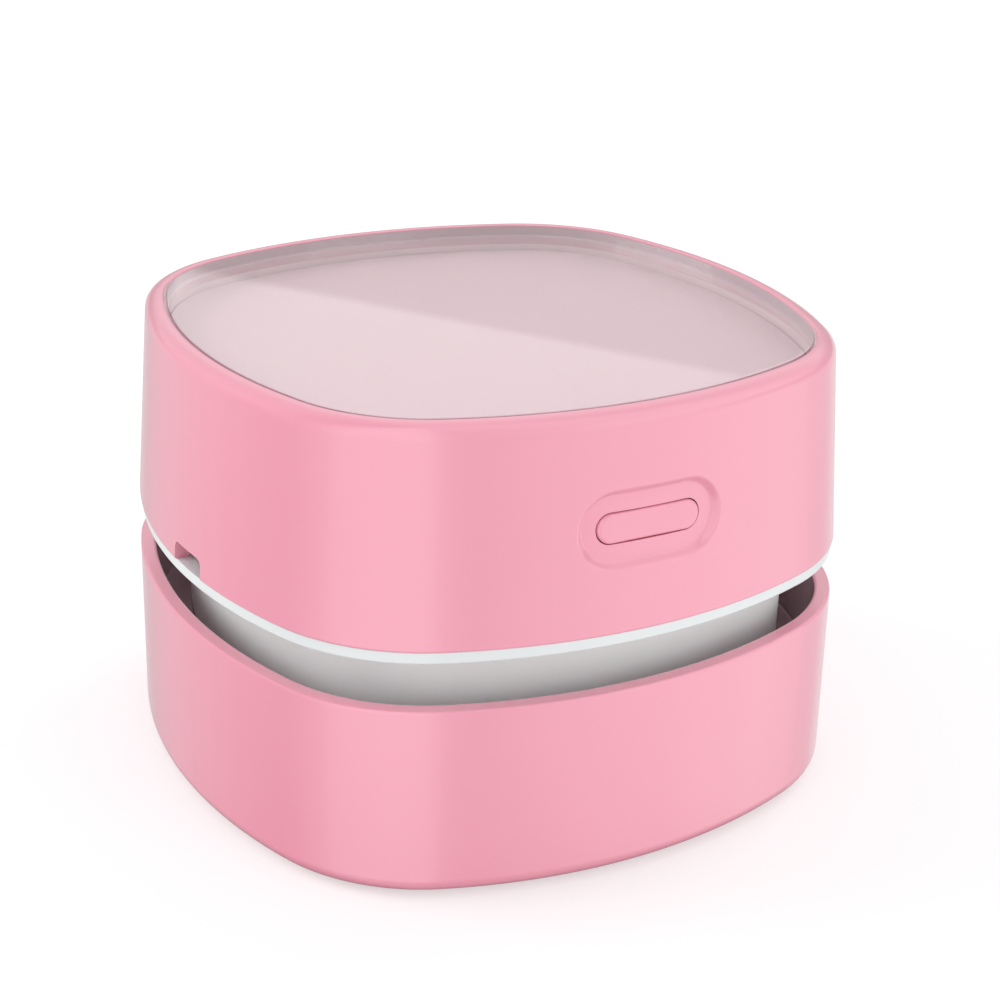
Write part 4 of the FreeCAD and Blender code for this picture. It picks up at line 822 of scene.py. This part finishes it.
wire(bristle_tree, (tree_start, "Tufts", ring_spots, "Vertices"),
     (tree_start, "Ring_Radius", ring_spots, "Radius"), (tree_start, "Tuft_Width", cluster, "Size X"),
     (tree_start, "Tuft_Width", cluster, "Size Y"), (tree_start, "Filaments_Across", cluster, "Vertices X"),
     (tree_start, "Filaments_Across", cluster, "Vertices Y"), (ring_spots, "Mesh", on_ring, "Points"),
     (cluster, "Mesh", on_ring, "Instance"), (on_ring, "Instances", all_spots, "Geometry"),
     (tree_start, "Seed", step_aside, "Seed"), (all_spots, "Geometry", move, "Geometry"),
     (step_aside, "Value", move, "Offset"), (tree_start, "Filament_Radius", filament, "Radius"),
     (tree_start, "Filament_Length", filament, "Depth"), (tree_start, "Lean", lean_back, 0),
     (lean_back, 0, lean_low, "X"), (lean_back, 0, lean_low, "Y"), (tree_start, "Lean", lean_high, "X"),
     (tree_start, "Lean", lean_high, "Y"), (lean_low, "Vector", lean, "Min"),
     (lean_high, "Vector", lean, "Max"), (tree_start, "Seed", lean, "Seed"),
     (move, "Geometry", stand, "Points"), (filament, "Mesh", stand, "Instance"),
     (lean, "Value", stand, "Rotation"))
raise_all = lifted(bristle_tree, stand, "Instances", tree_start, "Level")
close_tree(bristle_tree, tree_start, tree_end, raise_all, "Geometry")

# %% Bristles
tuft_low, tuft_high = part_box("bristle_tufts")
bristles = grown(bristle_tree, "bristles", Ring_Radius=15.5 * MM, Tufts=28, Tuft_Width=1.0 * MM,
                 Filaments_Across=5, Filament_Radius=0.07 * MM, Filament_Length=2.42 * MM, Lean=0.05,
                 Level=(tuft_low.z + tuft_high.z) / 2, Seed=7, Finish=finishes["bristle_nylon"])
settle(bristles, "bin", "bristle_nylon", "bristle_tufts")

# %% [markdown]
# The screws are small cross-head screws. One tree makes a screw from a head, a shank and a cross-shaped
# recess, and stands a copy at each corner of the plan, so the four of a set are sure to be alike. The
# shank rises by a little less than half its length, so that it reaches into the head and joins it.

# %% Screw tree
RECESS_LENGTH, RECESS_WIDTH, RECESS_CUT = 2.2 * MM, 0.55 * MM, 1.0 * MM
SHANK_SHARE = 0.49
screw_tree, tree_start, tree_end = new_tree(
    "corner_screws", Place="Float", Count="Int", Turn="Vector", Head_Radius="Float", Head_Height="Float",
    Shank_Radius="Float", Shank_Length="Float", Seat="Float", Finish="Material")
corner_spots = screw_tree.nodes.new("GeometryNodeMeshCircle")
turn_spots = screw_tree.nodes.new("GeometryNodeTransform")
head = add_node(screw_tree, "GeometryNodeMeshCylinder", Vertices=40)
shank = add_node(screw_tree, "GeometryNodeMeshCylinder", Vertices=24)
half_head = math_node(screw_tree, "MULTIPLY", -0.5)
half_shank = math_node(screw_tree, "MULTIPLY", SHANK_SHARE)
join_parts = screw_tree.nodes.new("GeometryNodeMeshBoolean")
join_parts.operation = "UNION"
recess_long = add_node(screw_tree, "GeometryNodeMeshCube", Size=(RECESS_LENGTH, RECESS_WIDTH, RECESS_CUT))
recess_cross = add_node(screw_tree, "GeometryNodeMeshCube", Size=(RECESS_WIDTH, RECESS_LENGTH, RECESS_CUT))
recess_level = math_node(screw_tree, "MULTIPLY", -1.0)
cut_recess = screw_tree.nodes.new("GeometryNodeMeshBoolean")
cut_recess.operation = "DIFFERENCE"
put = screw_tree.nodes.new("GeometryNodeInstanceOnPoints")
wire(screw_tree, (tree_start, "Count", corner_spots, "Vertices"),
     (tree_start, "Place", corner_spots, "Radius"), (corner_spots, "Mesh", turn_spots, "Geometry"),
     (tree_start, "Turn", turn_spots, "Rotation"), (tree_start, "Head_Radius", head, "Radius"),
     (tree_start, "Head_Height", head, "Depth"), (tree_start, "Shank_Radius", shank, "Radius"),
     (tree_start, "Shank_Length", shank, "Depth"), (tree_start, "Head_Height", half_head, 0),
     (tree_start, "Shank_Length", half_shank, 0), (tree_start, "Head_Height", recess_level, 0))
head_drop = lifted(screw_tree, head, "Mesh", half_head, 0)
shank_rise = lifted(screw_tree, shank, "Mesh", half_shank, 0)
move_long = lifted(screw_tree, recess_long, "Mesh", recess_level, 0)
move_cross = lifted(screw_tree, recess_cross, "Mesh", recess_level, 0)
wire(screw_tree, (head_drop, "Geometry", join_parts, "Mesh 2"),
     (shank_rise, "Geometry", join_parts, "Mesh 2"), (join_parts, "Mesh", cut_recess, "Mesh 1"),
     (move_long, "Geometry", cut_recess, "Mesh 2"), (move_cross, "Geometry", cut_recess, "Mesh 2"),
     (turn_spots, "Geometry", put, "Points"), (cut_recess, "Mesh", put, "Instance"))
lift_screws = lifted(screw_tree, put, "Instances", tree_start, "Seat")
close_tree(screw_tree, tree_start, tree_end, lift_screws, "Geometry")

# %% Screws
SCREW_HEAD = 1.8 * MM
HEAD_HEIGHT = 0.9 * MM


def corner_screws(name, node, body, shank_length):
    """Four screws at the plan's corners, in place of a node."""
    low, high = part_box(node)
    place = (high.x - SCREW_HEAD) * math.sqrt(2)
    made = grown(screw_tree, name, Place=place, Count=4, Turn=(0, 0, math.pi / 4), Head_Radius=SCREW_HEAD,
                 Head_Height=HEAD_HEIGHT, Shank_Radius=1.0 * MM, Shank_Length=shank_length,
                 Seat=low.z + HEAD_HEIGHT, Finish=finishes["screw_steel"])
    shade_smooth(made.data)
    settle(made, body, "screw_steel", node)


for screw_name, screw_node, screw_body in (("plate_screws", "base_screws", "bin"),
                                           ("deck_screws", "chassis_screws", "head"),
                                           ("fan_screws", "cover_screws", "head")):
    screw_low, screw_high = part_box(screw_node)
    corner_screws(screw_name, screw_node, screw_body, screw_high.z - screw_low.z - HEAD_HEIGHT)

# %% [markdown]
# Four felt pads let the cleaner glide over a desk. They are short discs at the ends of a cross, so a tree
# with a circle of four points makes them.

# %% Felt pads
pad_tree, tree_start, tree_end = new_tree(
    "pad_cross", Place="Float", Pad_Radius="Float", Pad_Height="Float", Finish="Material")
pad_spots = add_node(pad_tree, "GeometryNodeMeshCircle", Vertices=4)
pad_disc = add_node(pad_tree, "GeometryNodeMeshCylinder", Vertices=64)
put_pads = pad_tree.nodes.new("GeometryNodeInstanceOnPoints")
half_pad = math_node(pad_tree, "MULTIPLY", 0.5)
wire(pad_tree, (tree_start, "Place", pad_spots, "Radius"), (tree_start, "Pad_Radius", pad_disc, "Radius"),
     (tree_start, "Pad_Height", pad_disc, "Depth"), (pad_spots, "Mesh", put_pads, "Points"),
     (pad_disc, "Mesh", put_pads, "Instance"), (tree_start, "Pad_Height", half_pad, 0))
lift_pads = lifted(pad_tree, put_pads, "Instances", half_pad, 0)
close_tree(pad_tree, tree_start, tree_end, lift_pads, "Geometry")
pad_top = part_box("glide_pads")[1].z
felt_pads = grown(pad_tree, "felt_pads", Place=30.0 * MM, Pad_Radius=3.5 * MM, Pad_Height=pad_top,
                  Finish=finishes["felt_pad"])
shade_smooth(felt_pads.data)
settle(felt_pads, "bin", "felt_pad", "glide_pads")

# %% [markdown]
# The outline curves have done their work. The stage is a pale floor that carries on to a pale horizon.
# For the camera a share of the floor is a white glow, and the rest keeps the real shadow. Mirror rays pass
# through it, so that the walls mirror the studio's screens below the horizon as well.

# %% Floor
bpy.data.objects.remove(plain_rail)
bpy.data.objects.remove(front_rail)
FLOOR_HALF = 3.0
floor_mesh = bpy.data.meshes.new("floor")
floor_mesh.from_pydata([(-FLOOR_HALF, -FLOOR_HALF, 0), (FLOOR_HALF, -FLOOR_HALF, 0),
                        (FLOOR_HALF, FLOOR_HALF, 0), (-FLOOR_HALF, FLOOR_HALF, 0)], [], [(0, 1, 2, 3)])
floor = placed("floor", floor_mesh)
floor_paint, tree, shader = new_material("floor_paint")
set_inputs(shader, Base_Color=(0.9, 0.9, 0.9, 1), Roughness=1.0, Specular_IOR_Level=0.0)
path = tree.nodes.new("ShaderNodeLightPath")
glow = add_node(tree, "ShaderNodeEmission", Color=(1, 1, 1, 1), Strength=1.19)
share = math_node(tree, "MULTIPLY", 0.42)
mix = tree.nodes.new("ShaderNodeMixShader")
open_floor = tree.nodes.new("ShaderNodeBsdfTransparent")
mirror_mix = tree.nodes.new("ShaderNodeMixShader")
wire(tree, (path, "Is Camera Ray", share, 0), (share, 0, mix, 0), (shader, "BSDF", mix, 1),
     (glow, "Emission", mix, 2), (path, "Is Glossy Ray", mirror_mix, 0), (mix, "Shader", mirror_mix, 1),
     (open_floor, "BSDF", mirror_mix, 2),
     (mirror_mix, "Shader", tree.nodes["Material Output"], "Surface"))
floor_mesh.materials.append(floor_paint)
print("floor side in metres:", 2 * FLOOR_HALF)

# %% [markdown]
# The world is a white studio. Rays from the camera, and those that acrylic lets through, see plain white.
# Mirror rays see bright screens round the cleaner with dark gaps between them, which draw the soft upright
# bands on the walls, and a grey flag behind it, whose straight edge draws the slanting line across the clear
# top. The flag ends at the horizon, so it dims no wall, and the screens fade out far below the horizon.
# Light for the object comes a little more from the sides than from above, as in a light tent.

# %% World
scene = bpy.context.scene
scene.view_settings.view_transform = "Standard"
world = bpy.data.worlds.new("studio")
scene.world = world
world.use_nodes = True
tree = world.node_tree
background = tree.nodes["Background"]
background.inputs["Color"].default_value = (1, 1, 1, 1)
FLAG_EDGE = ((195.0, 270.0), (750.0, 378.0))
BRIGHT_SIDE = (450.0, 390.0)
FRAME_PIXELS = 1000.0
focal_pixels = lens_data.lens / lens_data.sensor_width * FRAME_PIXELS
middle = Vector((FRAME_PIXELS * (0.5 - lens_data.shift_x), FRAME_PIXELS * (0.5 + lens_data.shift_y)))


def mirrored_ray(column, row):
    """The way a camera ray goes after the level top mirrors it."""
    ray = (camera_side * (column - middle.x) - camera_lift * (row - middle.y)
           - towards_camera * focal_pixels).normalized()
    return Vector((ray.x, ray.y, -ray.z))


flag_side = mirrored_ray(*FLAG_EDGE[0]).cross(mirrored_ray(*FLAG_EDGE[1])).normalized()
if flag_side.dot(mirrored_ray(*BRIGHT_SIDE)) < 0:
    flag_side.negate()
place = tree.nodes.new("ShaderNodeTexCoord")
past_edge = math_node(tree, "DOT_PRODUCT", flag_side, "ShaderNodeVectorMath")
downwards = math_node(tree, "MULTIPLY", -1.0)
clear_of_flag = math_node(tree, "MAXIMUM")
edge = add_node(tree, "ShaderNodeMapRange", From_Min=-0.002, From_Max=0.002, To_Min=0.41, To_Max=1.0)
SCREENS = ((-180, 0.22), (-158, 0.22), (-148, 0.18), (-136, 0.14), (-125, 0.05), (-118, 0.02),
           (-108, 0.02), (-100, 0.08), (-92, 0.18), (-86, 0.26), (-76, 0.58), (-60, 0.68), (-44, 0.76),
           (-21, 0.74), (-16, 0.46), (-12, 0.25), (-8, 0.19), (-4, 0.25), (0, 0.32), (10, 0.42),
           (24, 0.52), (50, 0.58), (68, 0.54), (76, 0.42), (85, 0.3), (102, 0.26), (116, 0.32),
           (128, 0.34), (138, 0.33), (163, 0.33), (172, 0.28), (180, 0.22))
SCREEN_STRENGTH = 2.4
split = tree.nodes.new("ShaderNodeSeparateXYZ")
away = math_node(tree, "MULTIPLY", -1.0)
heading = math_node(tree, "ARCTAN2")
turn_share = add_node(tree, "ShaderNodeMapRange", From_Min=-math.pi, From_Max=math.pi)
screens = tree.nodes.new("ShaderNodeValToRGB")
stops = screens.color_ramp.elements
stops[0].position, stops[1].position = 0.0, 1.0
for stop, (_, level) in zip((stops[0], stops[-1]), (SCREENS[0], SCREENS[-1])):
    stop.color = (level, level, level, 1)
for degrees, level in SCREENS[1:-1]:
    stops.new((degrees + 180) / 360).color = (level, level, level, 1)
high_fade = add_node(tree, "ShaderNodeMapRange", From_Min=0.0, From_Max=0.1, To_Min=1.0, To_Max=1.1)
low_fade = add_node(tree, "ShaderNodeMapRange", From_Min=-0.8, From_Max=-0.5, To_Min=0.2, To_Max=1.0)
tent = add_node(tree, "ShaderNodeMapRange", From_Min=0.0, From_Max=1.0, To_Min=0.99, To_Max=0.75)
path = tree.nodes.new("ShaderNodeLightPath")
mirror_or_light = tree.nodes.new("ShaderNodeMix")
seen = math_node(tree, "MAXIMUM")
white_or_not = tree.nodes.new("ShaderNodeMix")
white_or_not.inputs["B"].default_value = 1.0
mirrored = math_node(tree, "MULTIPLY", SCREEN_STRENGTH)
wire(tree, (place, "Generated", past_edge, 0), (place, "Generated", split, "Vector"),
     (split, "Z", downwards, 0), (past_edge, "Value", clear_of_flag, 0), (downwards, 0, clear_of_flag, 1),
     (clear_of_flag, 0, edge, "Value"), (split, "Z", tent, "Value"), (split, "Z", low_fade, "Value"),
     (split, "Z", high_fade, "Value"), (split, "Y", away, 0), (split, "X", heading, 0),
     (away, 0, heading, 1), (heading, 0, turn_share, "Value"), (turn_share, "Result", screens, "Fac"),
     (screens, "Color", mirrored, 0))
for share_node in (edge, high_fade, low_fade):
    product = math_node(tree, "MULTIPLY")
    wire(tree, (mirrored, 0, product, 0), (share_node, "Result", product, 1))
    mirrored = product
wire(tree, (path, "Is Glossy Ray", mirror_or_light, "Factor"), (tent, "Result", mirror_or_light, "A"),
     (mirrored, 0, mirror_or_light, "B"), (path, "Is Camera Ray", seen, 0),
     (path, "Is Transmission Ray", seen, 1), (seen, 0, white_or_not, "Factor"),
     (mirror_or_light, "Result", white_or_not, "A"), (white_or_not, "Result", background, "Strength"))
print("flag side:", [round(c, 3) for c in flag_side])

# %% [markdown]
# Two large soft lamps at the sides give the walls their gentle change from side to side, and a weaker one
# in front lights the neck in its groove. None of them shows in a mirror, where only the screens are seen.

# %% Lamps
LAMP_DISTANCE = 0.9


def soft_lamp(name, azimuth, elevation, size, power):
    """A square area lamp that looks at the cleaner from a direction in degrees."""
    data = bpy.data.lights.new(name, "AREA")
    data.size = size
    data.energy = power
    lamp = placed(name, data)
    outward = direction(azimuth, elevation)
    lamp.location = AIM + outward * LAMP_DISTANCE
    lamp.rotation_mode = "QUATERNION"
    lamp.rotation_quaternion = outward.to_track_quat("Z", "Y")
    lamp.visible_glossy = False


soft_lamp("right_lamp", 105.0, 25.0, 0.5, 1.9)
soft_lamp("left_lamp", -123.0, 25.0, 0.5, 3.2)
soft_lamp("front_lamp", 25.0, 20.0, 0.4, 1.2)
print("lamps:", len(bpy.data.lights))
